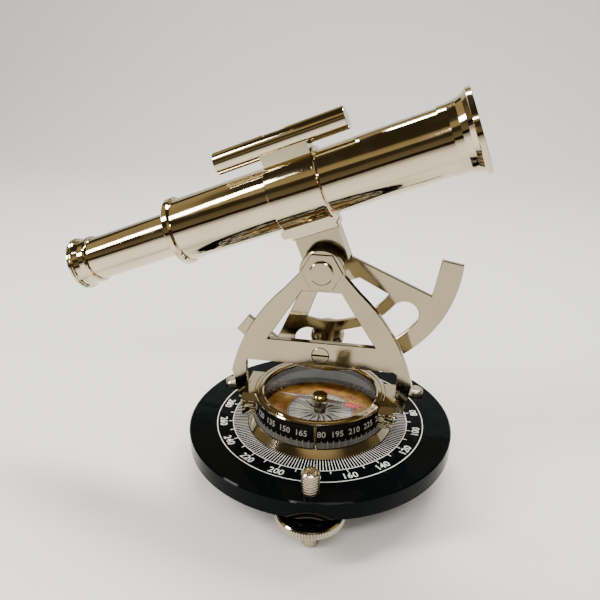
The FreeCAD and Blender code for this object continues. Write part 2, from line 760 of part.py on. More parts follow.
def build_tube():
    """Main tube with its collar, end ring and objective bell."""
    in_tube = {"rise": "tube_rise", "depth": "tube_depth"}
    place_on_telescope(turned_along("main_tube", [
        ("tube_tail", "tube_bore"), ("tube_nose", "tube_bore"), ("tube_nose", "tube_radius"),
        ("tube_tail", "tube_radius"),
    ]), **in_tube)
    place_on_telescope(turned_along("collar", [
        ("-8.6", "tube_radius"), ("-8.6", "collar_radius - 0.2"), ("-8.4", "collar_radius"),
        ("9.4", "collar_radius"), ("9.6", "collar_radius + 0.6"), ("10.3", "collar_radius + 0.6"),
        ("10.6", "collar_radius + 0.2"), ("10.6", "tube_radius"),
    ]), **in_tube)
    place_on_telescope(turned_along("end_ring", [
        ("tube_tail - 3.0", "draw_radius + running_gap"), ("tube_tail - 3.0", "12.4"),
        ("tube_tail - 2.5", "13.0"), ("tube_tail - 0.6", "13.0"), ("tube_tail", "12.3"),
        ("tube_tail", "tube_bore"), ("tube_tail + 4.0", "tube_bore"),
        ("tube_tail + 4.0", "draw_radius + running_gap"),
    ]), **in_tube)
    place_on_telescope(turned_along("objective_bell", [
        ("bell_start", "tube_radius"), ("bell_start", "12.3"), ("bell_start + 3.0", "12.3"),
        ("bell_start + 6.0", "12.7"), ("bell_start + 8.3", "13.5"), ("bell_end - 2.2", "14.6"),
        ("bell_end - 2.0", "bell_radius"), ("bell_end - 0.2", "bell_radius"),
        ("bell_end", "bell_radius - 0.3"), ("bell_end", "13.6"), ("bell_end - 1.4", "12.6"),
        ("bell_end - 1.4", "11.4"), ("tube_nose", "11.4"), ("tube_nose", "tube_radius"),
    ]), **in_tube)
    place_on_telescope(turned_along("objective_lens", [
        ("tube_nose + 1.0", "0"), ("tube_nose + 2.2", "10.4"), ("tube_nose + 2.2", "11.4"),
        ("tube_nose + 3.6", "11.4"), ("tube_nose + 3.6", "10.4"), ("tube_nose + 4.8", "0"),
    ]), **in_tube)
    place_on_telescope(turned_along("lens_retainer", [
        ("tube_nose + 3.6", "10.4"), ("tube_nose + 3.6", "11.4"), ("tube_nose + 5.6", "11.4"),
        ("tube_nose + 5.6", "10.4"),
    ]), **in_tube)


def build_draw():
    """Draw tube, its guide ring and the eyepiece."""
    in_tube = {"rise": "tube_rise", "depth": "tube_depth"}
    place_on_telescope(turned_along("draw_tube", [
        ("draw_tail", "7.6"), ("draw_head", "7.6"), ("draw_head", "draw_radius"),
        ("draw_tail", "draw_radius"),
    ]), **in_tube)
    place_on_telescope(turned_along("guide_ring", [
        ("draw_head - 4.0", "draw_radius"), ("draw_head", "draw_radius"),
        ("draw_head", "tube_bore - running_gap"), ("draw_head - 4.0", "tube_bore - running_gap"),
    ]), **in_tube)
    place_on_telescope(turned_along("eyepiece_cup", [
        ("eye_tail", "8.6"), ("eye_tail", "9.9"), ("eye_tail + 0.4", "10.3"),
        ("eye_tail + 1.1", "10.3"), ("eye_tail + 1.4", "9.9"), ("eye_tail + 1.7", "10.1"),
        ("eye_tail + 2.0", "10.1"), ("eye_tail + 2.4", "9.6"), ("eye_tail + 4.6", "9.0"),
        ("draw_tail - 0.4", "9.0"), ("draw_tail", "9.4"), ("draw_tail + 0.8", "9.2"),
        ("draw_tail + 1.0", "draw_radius"), ("draw_tail", "draw_radius"), ("draw_tail", "4.0"),
        ("draw_tail - 1.2", "4.0"), ("draw_tail - 1.2", "7.0"), ("eye_tail + 1.8", "8.0"),
    ]), **in_tube)
    place_on_telescope(turned_along("eyepiece_lens", [
        ("draw_tail - 3.4", "0"), ("draw_tail - 2.6", "6.2"), ("draw_tail - 1.2", "6.2"),
        ("draw_tail - 1.2", "0"),
    ]), **in_tube)
    place_on_telescope(turned_along("eyepiece_ring", [
        ("draw_tail - 2.8", "6.2"), ("draw_tail - 2.8", "6.8"), ("draw_tail - 2.6", "7.0"),
        ("draw_tail - 1.2", "7.0"), ("draw_tail - 1.2", "6.2"),
    ]), **in_tube)


def build_level():
    """Spirit level: saddle, tube with its sight opening, vial and end caps."""
    in_level = {"rise": "level_rise", "depth": "tube_depth"}
    saddle = plate("level_saddle", "tube_depth - 4.2", "tube_depth + 4.2", [[
        ("-8.2", "38.5"), ("9.4", "38.5"), ("9.4", "45.0"), ("-8.2", "45.0"),
    ]])
    trim_to_tube(saddle, "-12", "12", "collar_radius", "tube_rise")
    trim_to_tube(saddle, "-12", "12", "level_radius", "level_rise")
    place_on_telescope(saddle)
    tube = turned_along("level_tube", [
        ("level_tail", "3.3"), ("level_nose", "3.3"), ("level_nose", "level_radius"),
        ("level_tail", "level_radius"),
    ])
    sight = new_sketch(tube, "XY_Plane", "level_radius + 1.0")
    draw_loop(sight, [
        ("1.7", "-1.9", "1.9", -1), ("3.6", "0", "1.9", -1), ("1.7", "1.9"),
        ("-4.9", "1.9", "1.9", -1), ("-6.8", "0", "1.9", -1), ("-4.9", "-1.9"),
    ])
    pad(tube, sight, "level_radius + 1.0", "PartDesign::Pocket")
    place_on_telescope(tube, **in_level)
    place_on_telescope(turned_along("level_vial", [
        ("level_tail + 2.9", "0"), ("level_tail + 2.9", "3.3"), ("level_nose - 2.9", "3.3"),
        ("level_nose - 2.9", "0"),
    ]), **in_level)
    for side, end, sign in (("rear", "level_tail", "-"), ("front", "level_nose", "+")):
        place_on_telescope(turned_along("level_cap_" + side, [
            (end + " %s 0.7" % sign, "0"), (end + " %s 0.7" % sign, "level_radius - 0.2"),
            (end + " %s 0.5" % sign, "level_radius"), (end, "level_radius"), (end, "3.3"),
            (end + " %s -2.9" % sign, "3.3"), (end + " %s -2.9" % sign, "0"),
        ]), **in_level)


build_base()
build_levelling()
build_turntable()
build_compass()
build_needle()
build_brackets()
build_standard()
build_pivot()
build_sector()
build_bracket()
build_tube()
build_draw()
build_level()
doc.recompute()

for item in doc.Objects:
    if {"Invalid", "Error"} & set(item.State):
        raise RuntimeError("%s (%s) is %s" % (item.Label, item.Name, item.State))
for item in SUBPARTS:
    if item.Shape.isNull() or not item.Shape.isValid():
        raise RuntimeError(item.Label + " has no valid shape")

os.makedirs("parts", exist_ok=True)
for item in SUBPARTS:
    item.Shape.exportStep("parts/%s.step" % item.Label)
print("%d sub-parts" % len(SUBPARTS))
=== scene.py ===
"""Looks of a small polished theodolite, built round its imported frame. Sizes are in metres."""

import json
import logging
import math
from dataclasses import dataclass, field
from enum import Enum
from typing import Callable, Sequence, Union

import bmesh
import bpy
from mathutils import Matrix, Vector

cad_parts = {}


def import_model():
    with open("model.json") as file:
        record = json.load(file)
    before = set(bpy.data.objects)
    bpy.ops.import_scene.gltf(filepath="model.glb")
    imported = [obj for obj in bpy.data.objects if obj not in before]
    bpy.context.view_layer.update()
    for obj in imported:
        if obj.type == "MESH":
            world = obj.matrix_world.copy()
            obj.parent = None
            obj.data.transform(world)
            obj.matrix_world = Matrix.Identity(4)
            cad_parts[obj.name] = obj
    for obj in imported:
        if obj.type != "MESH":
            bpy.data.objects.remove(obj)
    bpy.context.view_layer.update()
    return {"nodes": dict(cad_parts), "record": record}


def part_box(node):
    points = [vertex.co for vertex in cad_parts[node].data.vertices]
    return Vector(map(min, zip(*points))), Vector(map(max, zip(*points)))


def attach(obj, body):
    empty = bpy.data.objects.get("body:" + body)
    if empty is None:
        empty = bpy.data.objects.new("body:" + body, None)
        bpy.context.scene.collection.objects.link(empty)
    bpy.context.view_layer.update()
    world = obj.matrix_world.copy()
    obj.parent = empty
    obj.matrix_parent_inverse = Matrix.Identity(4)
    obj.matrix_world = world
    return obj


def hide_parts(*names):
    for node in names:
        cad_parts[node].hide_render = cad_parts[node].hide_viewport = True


LOG = logging.getLogger("theodolite")
MM = 0.001
Profile = Sequence[tuple[float, float]]
Colour = tuple[float, float, float]
Socket = bpy.types.NodeSocket
Value = Union[Socket, float]
Paint = Union[Socket, Colour]


class Ink(Enum):
    """Colours of the printed scales."""

    WHITE = (0.80, 0.79, 0.74)
    GREY = (0.24, 0.235, 0.205)
    BLACK = (0.012, 0.011, 0.010)
    SEPIA = (0.10, 0.035, 0.012)
    RED = (0.42, 0.035, 0.02)


class Body(str, Enum):
    """Rigid bodies that pieces ride on."""

    BASE = "base"
    ALIDADE = "alidade"
    NEEDLE = "needle"
    CLAMP = "clamp"
    TELESCOPE = "telescope"


# ------------------------------------------------------------------ shader groups
class Wear:
    """Builds the shader groups that several finishes share, each of them once."""

    def __init__(self) -> None:
        """Start with no groups built."""
        self._groups: dict[str, bpy.types.NodeTree] = {}

    def _new(self, name: str, inputs: dict[str, float], outputs: Sequence[str]
             ) -> tuple[bpy.types.NodeTree, bpy.types.Node, bpy.types.Node]:
        """Make an empty group with its sockets.

        Args:
            name: The group's name.
            inputs: Float inputs and their defaults, after the Vector input.
            outputs: Float outputs.

        Returns:
            The group, its input node and its output node.
        """
        tree = bpy.data.node_groups.new(name, "ShaderNodeTree")
        tree.interface.new_socket("Vector", in_out="INPUT", socket_type="NodeSocketVector")
        for label, default in inputs.items():
            socket = tree.interface.new_socket(
                label, in_out="INPUT", socket_type="NodeSocketFloat")
            socket.default_value = default
        for label in outputs:
            tree.interface.new_socket(label, in_out="OUTPUT", socket_type="NodeSocketFloat")
        return tree, tree.nodes.new("NodeGroupInput"), tree.nodes.new("NodeGroupOutput")

    def handling(self) -> bpy.types.NodeTree:
        """Fingerprint haze and fine wipe marks of handled, polished metal.

        Returns:
            A group with the outputs Haze, Tarnish and Height.
        """
        if "handling" in self._groups:
            return self._groups["handling"]
        tree, source, sink = self._new(
            "handling", {"Scale": 90.0, "Wipe": 0.5}, ("Haze", "Tarnish", "Height"))
        haze = noise(tree, source.outputs["Vector"], scale=None, detail=5.0)
        tree.links.new(source.outputs["Scale"], haze.inputs["Scale"])
        haze_range = ramp(tree, haze.outputs["Fac"], 0.42, 0.70)
        tree.links.new(haze_range, sink.inputs["Haze"])
        tarnish = noise(tree, source.outputs["Vector"], scale=38.0, detail=3.0)
        tree.links.new(ramp(tree, tarnish.outputs["Fac"], 0.40, 0.72), sink.inputs["Tarnish"])
        squeeze = tree.nodes.new("ShaderNodeVectorMath")
        squeeze.operation = "MULTIPLY"
        squeeze.inputs[1].default_value = (0.12, 1.0, 1.0)
        tree.links.new(source.outputs["Vector"], squeeze.inputs[0])
        wipe = noise(tree, squeeze.outputs["Vector"], scale=5200.0, detail=2.0)
        wave = noise(tree, source.outputs["Vector"], scale=70.0, detail=1.0)
        scaled = maths(tree, "MULTIPLY", wipe.outputs["Fac"], source.outputs["Wipe"])
        total = maths(tree, "ADD", scaled, wave.outputs["Fac"])
        tree.links.new(total, sink.inputs["Height"])
        self._groups["handling"] = tree
        return tree

    def turned_rings(self) -> bpy.types.NodeTree:
        """Concentric lathe rings round the local Y axis.

        Returns:
            A group with the output Height.
        """
        if "turned_rings" in self._groups:
            return self._groups["turned_rings"]
        tree, source, sink = self._new("turned_rings", {"Reach": 0.008, "Pitch": 9000.0},
                                       ("Height",))
        split = tree.nodes.new("ShaderNodeSeparateXYZ")
        tree.links.new(source.outputs["Vector"], split.inputs[0])
        squares = [maths(tree, "MULTIPLY", split.outputs[axis], split.outputs[axis])
                   for axis in ("X", "Z")]
        radius = maths(tree, "SQRT", maths(tree, "ADD", *squares), 0.0)
        wave = maths(tree, "SINE", maths(tree, "MULTIPLY", radius, source.outputs["Pitch"]), 0.0)
        inside = maths(tree, "LESS_THAN", radius, source.outputs["Reach"])
        tree.links.new(maths(tree, "MULTIPLY", wave, inside), sink.inputs["Height"])
        self._groups["turned_rings"] = tree
        return tree

    def dust(self) -> bpy.types.NodeTree:
        """Sparse specks of dust, and soft smears between them.

        Returns:
            A group with the outputs Specks and Smear.
        """
        if "dust" in self._groups:
            return self._groups["dust"]
        tree, source, sink = self._new("dust", {"Amount": 0.5}, ("Specks", "Smear"))
        cells = tree.nodes.new("ShaderNodeTexVoronoi")
        cells.inputs["Scale"].default_value = 620.0
        tree.links.new(source.outputs["Vector"], cells.inputs["Vector"])
        size = maths(tree, "MULTIPLY", source.outputs["Amount"], 0.09)
        specks = maths(tree, "LESS_THAN", cells.outputs["Distance"], size)
        tree.links.new(specks, sink.inputs["Specks"])
        smear = noise(tree, source.outputs["Vector"], scale=55.0, detail=4.0)
        tree.links.new(ramp(tree, smear.outputs["Fac"], 0.45, 0.75), sink.inputs["Smear"])
        self._groups["dust"] = tree
        return tree


def noise(tree: bpy.types.NodeTree, vector: Socket, scale: float | None, detail: float
          ) -> bpy.types.Node:
    """Add a noise texture to a tree.

    Args:
        tree: The tree to add to.
        vector: The socket that holds the coordinates.
        scale: The texture's scale, or None to leave its socket for a link.
        detail: The texture's detail.

    Returns:
        The node.
    """
    node = tree.nodes.new("ShaderNodeTexNoise")
    node.inputs["Detail"].default_value = detail
    if scale is not None:
        node.inputs["Scale"].default_value = scale
    tree.links.new(vector, node.inputs["Vector"])
    return node


def maths(tree: bpy.types.NodeTree, operation: str, first: Value, second: Value) -> Socket:
    """Add a Math node.

    Args:
        tree: The tree to add to.
        operation: The node's operation.
        first: A socket or a number.
        second: A socket or a number.

    Returns:
        The node's output socket.
    """
    node = tree.nodes.new("ShaderNodeMath")
    node.operation = operation
    for socket, value in zip(node.inputs, (first, second)):
        if isinstance(value, (int, float)):
            socket.default_value = value
        else:
            tree.links.new(value, socket)
    return node.outputs[0]


def ramp(tree: bpy.types.NodeTree, value: Socket, low: float, high: float,
         to_low: float = 0.0, to_high: float = 1.0) -> Socket:
    """Add a clamped Map Range node.

    Args:
        tree: The tree to add to.
        value: The socket to map.
        low: The value that gives to_low.
        high: The value that gives to_high.
        to_low: The lowest result.
        to_high: The highest result.

    Returns:
        The node's result socket.
    """
    node = tree.nodes.new("ShaderNodeMapRange")
    for name, number in (("From Min", low), ("From Max", high),
                         ("To Min", to_low), ("To Max", to_high)):
        node.inputs[name].default_value = number
    tree.links.new(value, node.inputs["Value"])
    return node.outputs["Result"]


def mix(tree: bpy.types.NodeTree, factor: Socket, first: Paint, second: Paint) -> Socket:
    """Add a colour Mix node.

    Args:
        tree: The tree to add to.
        factor: The socket that mixes.
        first: A colour or a socket, where the factor is 0.
        second: A colour or a socket, where the factor is 1.

    Returns:
        The node's colour socket.
    """
    node = tree.nodes.new("ShaderNodeMix")
    node.data_type = "RGBA"
    tree.links.new(factor, node.inputs[0])
    for socket, value in ((node.inputs[6], first), (node.inputs[7], second)):
        if isinstance(value, tuple):
            socket.default_value = (*value, 1.0)
        else:
            tree.links.new(value, socket)
    return node.outputs[2]


# ------------------------------------------------------------------ finishes
WEAR = Wear()


@dataclass(frozen=True)
class Finish:
    """A finish: its name, its main colour and its roughness."""

    name: str
    colour: Colour
    roughness: float

    def material(self) -> bpy.types.Material:
        """Return the finish's material, built on first use."""
        known = bpy.data.materials.get(self.name)
        if known is not None:
            return known
        material = bpy.data.materials.new(self.name)
        material.use_nodes = True
        shader = material.node_tree.nodes["Principled BSDF"]
        shader.inputs["Base Color"].default_value = (*self.colour, 1.0)
        shader.inputs["Roughness"].default_value = self.roughness
        self.detail(material.node_tree, shader)
        return material

    def detail(self, tree: bpy.types.NodeTree, shader: bpy.types.Node) -> None:
        """Add the finish's own nodes."""

    @staticmethod
    def place(tree: bpy.types.NodeTree, origin: Vector | None = None, turn: float = 0.0
              ) -> Socket:
        """Give coordinates on the piece, optionally centred on a point and turned round Y.

        Args:
            tree: The material's tree.
            origin: The point that becomes the origin.
            turn: The angle to turn the pattern by.

        Returns:
            The socket that holds the coordinates.
        """
        coordinates = tree.nodes.new("ShaderNodeTexCoord")
        if origin is None and turn == 0.0:
            return coordinates.outputs["Object"]
        mapping = tree.nodes.new("ShaderNodeMapping")
        mapping.vector_type = "TEXTURE"
        mapping.inputs["Location"].default_value = origin or Vector()
        mapping.inputs["Rotation"].default_value[1] = turn
        tree.links.new(coordinates.outputs["Object"], mapping.inputs["Vector"])
        return mapping.outputs["Vector"]

    @staticmethod
    def group(tree: bpy.types.NodeTree, shared: bpy.types.NodeTree, vector: Socket,
              **values: float) -> bpy.types.Node:
        """Place a shared group in a material.

        Args:
            tree: The material's tree.
            shared: The group.
            vector: The socket that holds the coordinates.
            values: Values for the group's inputs.

        Returns:
            The group node.
        """
        node = tree.nodes.new("ShaderNodeGroup")
        node.node_tree = shared
        tree.links.new(vector, node.inputs["Vector"])
        for name, value in values.items():
            node.inputs[name.capitalize()].default_value = value
        return node

    @staticmethod
    def bump(tree: bpy.types.NodeTree, shader: bpy.types.Node, height: Socket,
             distance: float, strength: float) -> None:
        """Feed a height into the shader's normal.

        Args:
            tree: The material's tree.
            shader: The shader to bump.
            height: The socket that holds the height.
            distance: The height of the bumps, in metres.
            strength: How strongly they show.
        """
        node = tree.nodes.new("ShaderNodeBump")
        node.inputs["Distance"].default_value = distance
        node.inputs["Strength"].default_value = strength
        tree.links.new(height, node.inputs["Height"])
        tree.links.new(node.outputs["Normal"], shader.inputs["Normal"])


@dataclass(frozen=True)
class Polished(Finish):
    """Mirror-polished plated metal: haze, faint tarnish and a slightly wavy surface."""

    tarnish: Colour = (0.42, 0.335, 0.20)
    wavy: float = 0.30
    tilt: float = 0.0
    rings_at: tuple[float, float, float] | None = None
    rings_reach: float = 0.008

    def detail(self, tree: bpy.types.NodeTree, shader: bpy.types.Node) -> None:
        """Add tarnish, haze, waviness and, on turned faces, lathe rings."""
        shader.inputs["Metallic"].default_value = 1.0
        vector = self.place(tree, turn=-self.tilt)
        wear = self.group(tree, WEAR.handling(), vector, wipe=0.02)
        tree.links.new(mix(tree, wear.outputs["Tarnish"], self.colour, self.tarnish_tint()),
                       shader.inputs["Base Color"])
        tree.links.new(ramp(tree, wear.outputs["Haze"], 0.0, 1.0, self.roughness,
                            self.roughness + 0.07), shader.inputs["Roughness"])
        height = wear.outputs["Height"]
        if self.rings_at is not None:
            centred = self.place(tree, origin=Vector(self.rings_at))
            rings = self.group(tree, WEAR.turned_rings(), centred, reach=self.rings_reach)
            height = maths(tree, "ADD", height,
                           maths(tree, "MULTIPLY", rings.outputs["Height"], 0.012))
        self.bump(tree, shader, height, 0.0006, self.wavy)

    def tarnish_tint(self) -> Colour:
        """Return the colour half way from the clean metal to its tarnish."""
        return tuple(0.65 * clean + 0.35 * dull for clean, dull in zip(self.colour, self.tarnish))


@dataclass(frozen=True)
class Lacquer(Finish):
    """Thick gloss black lacquer with dust and smears."""

    index: float = 1.13

    def detail(self, tree: bpy.types.NodeTree, shader: bpy.types.Node) -> None:
        """Add dust specks, smears and a slightly wavy surface."""
        vector = self.place(tree)
        dust = self.group(tree, WEAR.dust(), vector, amount=0.55)
        tree.links.new(mix(tree, dust.outputs["Specks"], self.colour, (0.035, 0.036, 0.036)),
                       shader.inputs["Base Color"])
        tree.links.new(ramp(tree, dust.outputs["Smear"], 0.0, 1.0, self.roughness,
                            self.roughness + 0.10), shader.inputs["Roughness"])
        shader.inputs["IOR"].default_value = self.index
        wave = noise(tree, vector, scale=130.0, detail=1.0)
        self.bump(tree, shader, wave.outputs["Fac"], 0.0004, 0.25)


@dataclass(frozen=True)
class Print(Finish):
    """Printed or paint-filled marks, a little uneven in their cover."""

    faded: Colour = (0.5, 0.5, 0.48)

    def detail(self, tree: bpy.types.NodeTree, shader: bpy.types.Node) -> None:
        """Add uneven cover."""
        vector = self.place(tree)
        cover = noise(tree, vector, scale=900.0, detail=3.0)
        tree.links.new(mix(tree, ramp(tree, cover.outputs["Fac"], 0.52, 0.80), self.colour,
                           self.faded), shader.inputs["Base Color"])


@dataclass(frozen=True)
class Card(Finish):
    """Varnished paper card with mottled colour and fibres."""

    mottle: Colour = (0.6, 0.3, 0.05)
    grain: float = 260.0

    def detail(self, tree: bpy.types.NodeTree, shader: bpy.types.Node) -> None:
        """Add mottling, fibres and a soft varnish."""
        vector = self.place(tree)
        patches = noise(tree, vector, scale=self.grain, detail=5.0)
        tree.links.new(mix(tree, ramp(tree, patches.outputs["Fac"], 0.38, 0.68), self.colour,
                           self.mottle), shader.inputs["Base Color"])
        fibres = noise(tree, vector, scale=2600.0, detail=3.0)
        self.bump(tree, shader, fibres.outputs["Fac"], 0.0001, 0.25)
        shader.inputs["Coat Weight"].default_value = 0.25


@dataclass(frozen=True)
class Pane(Finish):
    """Thin clear glass: see-through face on, and a mirror at a glancing angle."""

    strength: float = 0.75
    least: float = 0.012

    def detail(self, tree: bpy.types.NodeTree, shader: bpy.types.Node) -> None:
        """Let the reflection grow with the angle, and smear it a little."""
        shader.inputs["Metallic"].default_value = 1.0
        vector = self.place(tree)
        smear = self.group(tree, WEAR.dust(), vector, amount=0.3)
        tree.links.new(ramp(tree, smear.outputs["Smear"], 0.0, 1.0, self.roughness,
                            self.roughness + 0.12), shader.inputs["Roughness"])
        glance = tree.nodes.new("ShaderNodeLayerWeight")
        glance.inputs["Blend"].default_value = 0.5
        rise = maths(tree, "POWER", glance.outputs["Facing"], 3.5)
        film = ramp(tree, smear.outputs["Smear"], 0.0, 1.0, self.least, self.least + 0.04)
        cover = maths(tree, "ADD", maths(tree, "MULTIPLY", rise, self.strength), film)
        tree.links.new(maths(tree, "MINIMUM", cover, 1.0), shader.inputs["Alpha"])


@dataclass(frozen=True)
class Lens(Finish):
    """Coated lens over a dark tube, with a faint bloom of colour."""

    bloom: Colour = (0.05, 0.03, 0.09)

    def detail(self, tree: bpy.types.NodeTree, shader: bpy.types.Node) -> None:
        """Add the bloom of the coating."""
        vector = self.place(tree)
        bloom = noise(tree, vector, scale=45.0, detail=1.0)
        tree.links.new(mix(tree, ramp(tree, bloom.outputs["Fac"], 0.3, 0.7), self.colour,
                           self.bloom), shader.inputs["Base Color"])
        shader.inputs["Coat Weight"].default_value = 1.0
        shader.inputs["Coat Roughness"].default_value = 0.02


@dataclass(frozen=True)
class Plain(Finish):
    """Matt studio floor with a barely visible grain."""

    def detail(self, tree: bpy.types.NodeTree, shader: bpy.types.Node) -> None:
        """Add the grain."""
        vector = self.place(tree)
        grain = noise(tree, vector, scale=60.0, detail=3.0)
        light = tuple(min(1.0, part * 1.02) for part in self.colour)
        tree.links.new(mix(tree, grain.outputs["Fac"], self.colour, light),
                       shader.inputs["Base Color"])


NICKEL_COLOUR = (0.60, 0.525, 0.365)
NICKEL = Polished("polished_nickel", NICKEL_COLOUR, 0.05)
# Darker copy of the polished nickel for the flat plates: its colour is painted shade, a darker
# reflection than the tubes show.
SHADED_PLATE_COLOUR = (0.37, 0.32, 0.215)
SHADED_PLATE_NICKEL = Polished("shaded_plate_nickel", SHADED_PLATE_COLOUR, 0.09, tarnish=(0.26, 0.205, 0.12))
# Rougher nickel for knurled rims; its darker colour is painted shade for the dark gaps between
# the ribs.
SHADED_KNURL_NICKEL = Polished("shaded_knurled_nickel", (0.44, 0.40, 0.32), 0.14, wavy=0.1)
# Duller, rougher nickel for the screws; its darker colour is also painted shade on the screw
# feet.
SHADED_THREAD_NICKEL = Polished("shaded_thread_nickel", (0.50, 0.44, 0.34), 0.24, wavy=0.1)
BRASS = Polished("polished_brass", (0.44, 0.33, 0.11), 0.14, tarnish=(0.16, 0.10, 0.03))
# Very dark metal for the needle pivot, darker than the brass.
DARK_PIVOT_METAL = Polished("dark_pivot_metal", (0.09, 0.075, 0.05), 0.35, tarnish=(0.04, 0.03, 0.02))
STEEL = Polished("needle_steel", (0.80, 0.79, 0.76), 0.16, wavy=0.1)
RED_PAINT = Print("needle_red", (0.50, 0.03, 0.02), 0.35, faded=(0.30, 0.02, 0.015))
BASE_LACQUER = Lacquer("base_lacquer", (0.0012, 0.0022, 0.0028), 0.05)
BAND_BLACK = Lacquer("band_black", (0.003, 0.003, 0.0028), 0.14)
# Gold and white card colours set darker than the cards themselves: painted shade inside the
# compass box.
SHADED_GOLD_CARD = Card("shaded_gold_card", (0.34, 0.165, 0.014), 0.50, mottle=(0.17, 0.060, 0.007))
SHADED_WHITE_CARD = Card("shaded_white_card", (0.44, 0.425, 0.40), 0.45, mottle=(0.33, 0.31, 0.28))
CLEAR_GLASS = Pane("clear_glass", (0.95, 0.95, 0.95), 0.02)
COATED_LENS = Lens("coated_lens", (0.010, 0.014, 0.03), 0.03)
VIAL_GLASS = Lens("vial_spirit", (0.16, 0.26, 0.55), 0.05, bloom=(0.30, 0.42, 0.80))
BUBBLE = Lens("level_bubble", (0.70, 0.80, 0.95), 0.05, bloom=(0.85, 0.92, 1.0))


def ink(colour: Ink) -> Print:
    """Return the finish of a printed colour."""
    faded = tuple(part * 0.6 for part in colour.value)
    return Print("ink_" + colour.name.lower(), colour.value, 0.45, faded=faded)


# ------------------------------------------------------------------ mesh tools
def add_piece(name: str, mesh: bpy.types.Mesh, finish: Finish, body: str,
              replaces: Sequence[str] = ()) -> bpy.types.Object:
    """Put a finished mesh in the scene as a piece of the instrument.

    Args:
        name: The piece's name.
        mesh: Its mesh, already in place.
        finish: Its finish.
        body: The body it rides on.
        replaces: The CAD nodes it stands for.

    Returns:
        The new object.
    """
    mesh.name = name
    mesh.materials.clear()
    mesh.materials.append(finish.material())
    piece = bpy.data.objects.new(name, mesh)
    bpy.context.scene.collection.objects.link(piece)
    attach(piece, body)
    if replaces:
        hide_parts(*replaces)
    LOG.info("%-24s %6d faces on %s", name, len(mesh.polygons), body)
    return piece


def dress(nodes: dict[str, bpy.types.Object], names: Sequence[str], finish: Finish) -> None:
    """Give CAD nodes a finish through their material slots."""
    for name in names:
        for slot in nodes[name].material_slots:
            slot.material = finish.material()
        LOG.info("%-24s dressed in %s", name, finish.name)


def smooth(mesh: bpy.types.Mesh, angle: float = 35.0) -> bpy.types.Mesh:
    """Shade a mesh smooth, with edges sharper than an angle in degrees left sharp."""
    mesh.shade_smooth()
    mesh.set_sharp_from_angle(angle=math.radians(angle))
    return mesh


def from_faces(name: str, points: Sequence[Vector], faces: Sequence[Sequence[int]]
               ) -> bpy.types.Mesh:
    """Make a mesh and turn its faces outwards.

    Args:
        name: The mesh's name.
        points: Its vertices.
        faces: Its faces.

    Returns:
        The mesh.
    """
    mesh = bpy.data.meshes.new(name)
    mesh.from_pydata([tuple(point) for point in points], [], [list(face) for face in faces])
    shape = bmesh.new()
    shape.from_mesh(mesh)
    bmesh.ops.recalc_face_normals(shape, faces=shape.faces)
    shape.to_mesh(mesh)
    shape.free()
    return mesh


def turned(name: str, profile: Profile, steps: int = 96,
           radius_at: Callable[[float, float, float], float] | None = None) -> bpy.types.Mesh:
    """Turn a closed profile round Z.

    Args:
        name: The mesh's name.
        profile: (radius, height) corners; a radius of 0 is a pole.
        steps: How many steps go round.
        radius_at: Changes a radius, from (radius, height, angle).

    Returns:
        The mesh.
    """
    points: list[Vector] = []
    rows: list[list[int]] = []
    for radius, height in profile:
        if radius < 1e-9:
            rows.append([len(points)] * steps)
            points.append(Vector((0.0, 0.0, height)))
            continue
        rows.append(list(range(len(points), len(points) + steps)))
        for step in range(steps):
            angle = math.tau * step / steps
            reach = radius_at(radius, height, angle) if radius_at else radius
            points.append(Vector((reach * math.cos(angle), reach * math.sin(angle), height)))
    faces = []
    for index, row in enumerate(rows):
        following = rows[(index + 1) % len(rows)]
        if row[0] == row[-1] and following[0] == following[-1]:
            continue
        for step in range(steps):
            other = (step + 1) % steps
            corners = [row[step], row[other], following[other], following[step]]
            faces.append(list(dict.fromkeys(corners)))
    return from_faces(name, points, faces)


def printed_ring(radius: float, half: float, level: float, below: float, above: float,
                 steps: int = 120) -> bpy.types.Mesh:
    """Make a thin ring round Z.

    Args:
        radius: Its middle radius.
        half: Half its width.
        level: The height of the face it lies on.
        below: How far it reaches below the face.
        above: How far it stands above the face.
        steps: How many steps go round.

    Returns:
        The mesh.
    """
    inner, outer = radius - half, radius + half
    return turned("ring", [(inner, level - below), (outer, level - below),
                           (outer, level + above), (inner, level + above)], steps)


def join(name: str, meshes: Sequence[bpy.types.Mesh]) -> bpy.types.Mesh:
    """Join meshes into one and remove the originals.

    Args:
        name: The new mesh's name.
        meshes: The meshes to join.

    Returns:
        The joined mesh.
    """
    shape = bmesh.new()
    for mesh in meshes:
        shape.from_mesh(mesh)
        bpy.data.meshes.remove(mesh)
    joined = bpy.data.meshes.new(name)
    shape.to_mesh(joined)
    shape.free()
    return joined


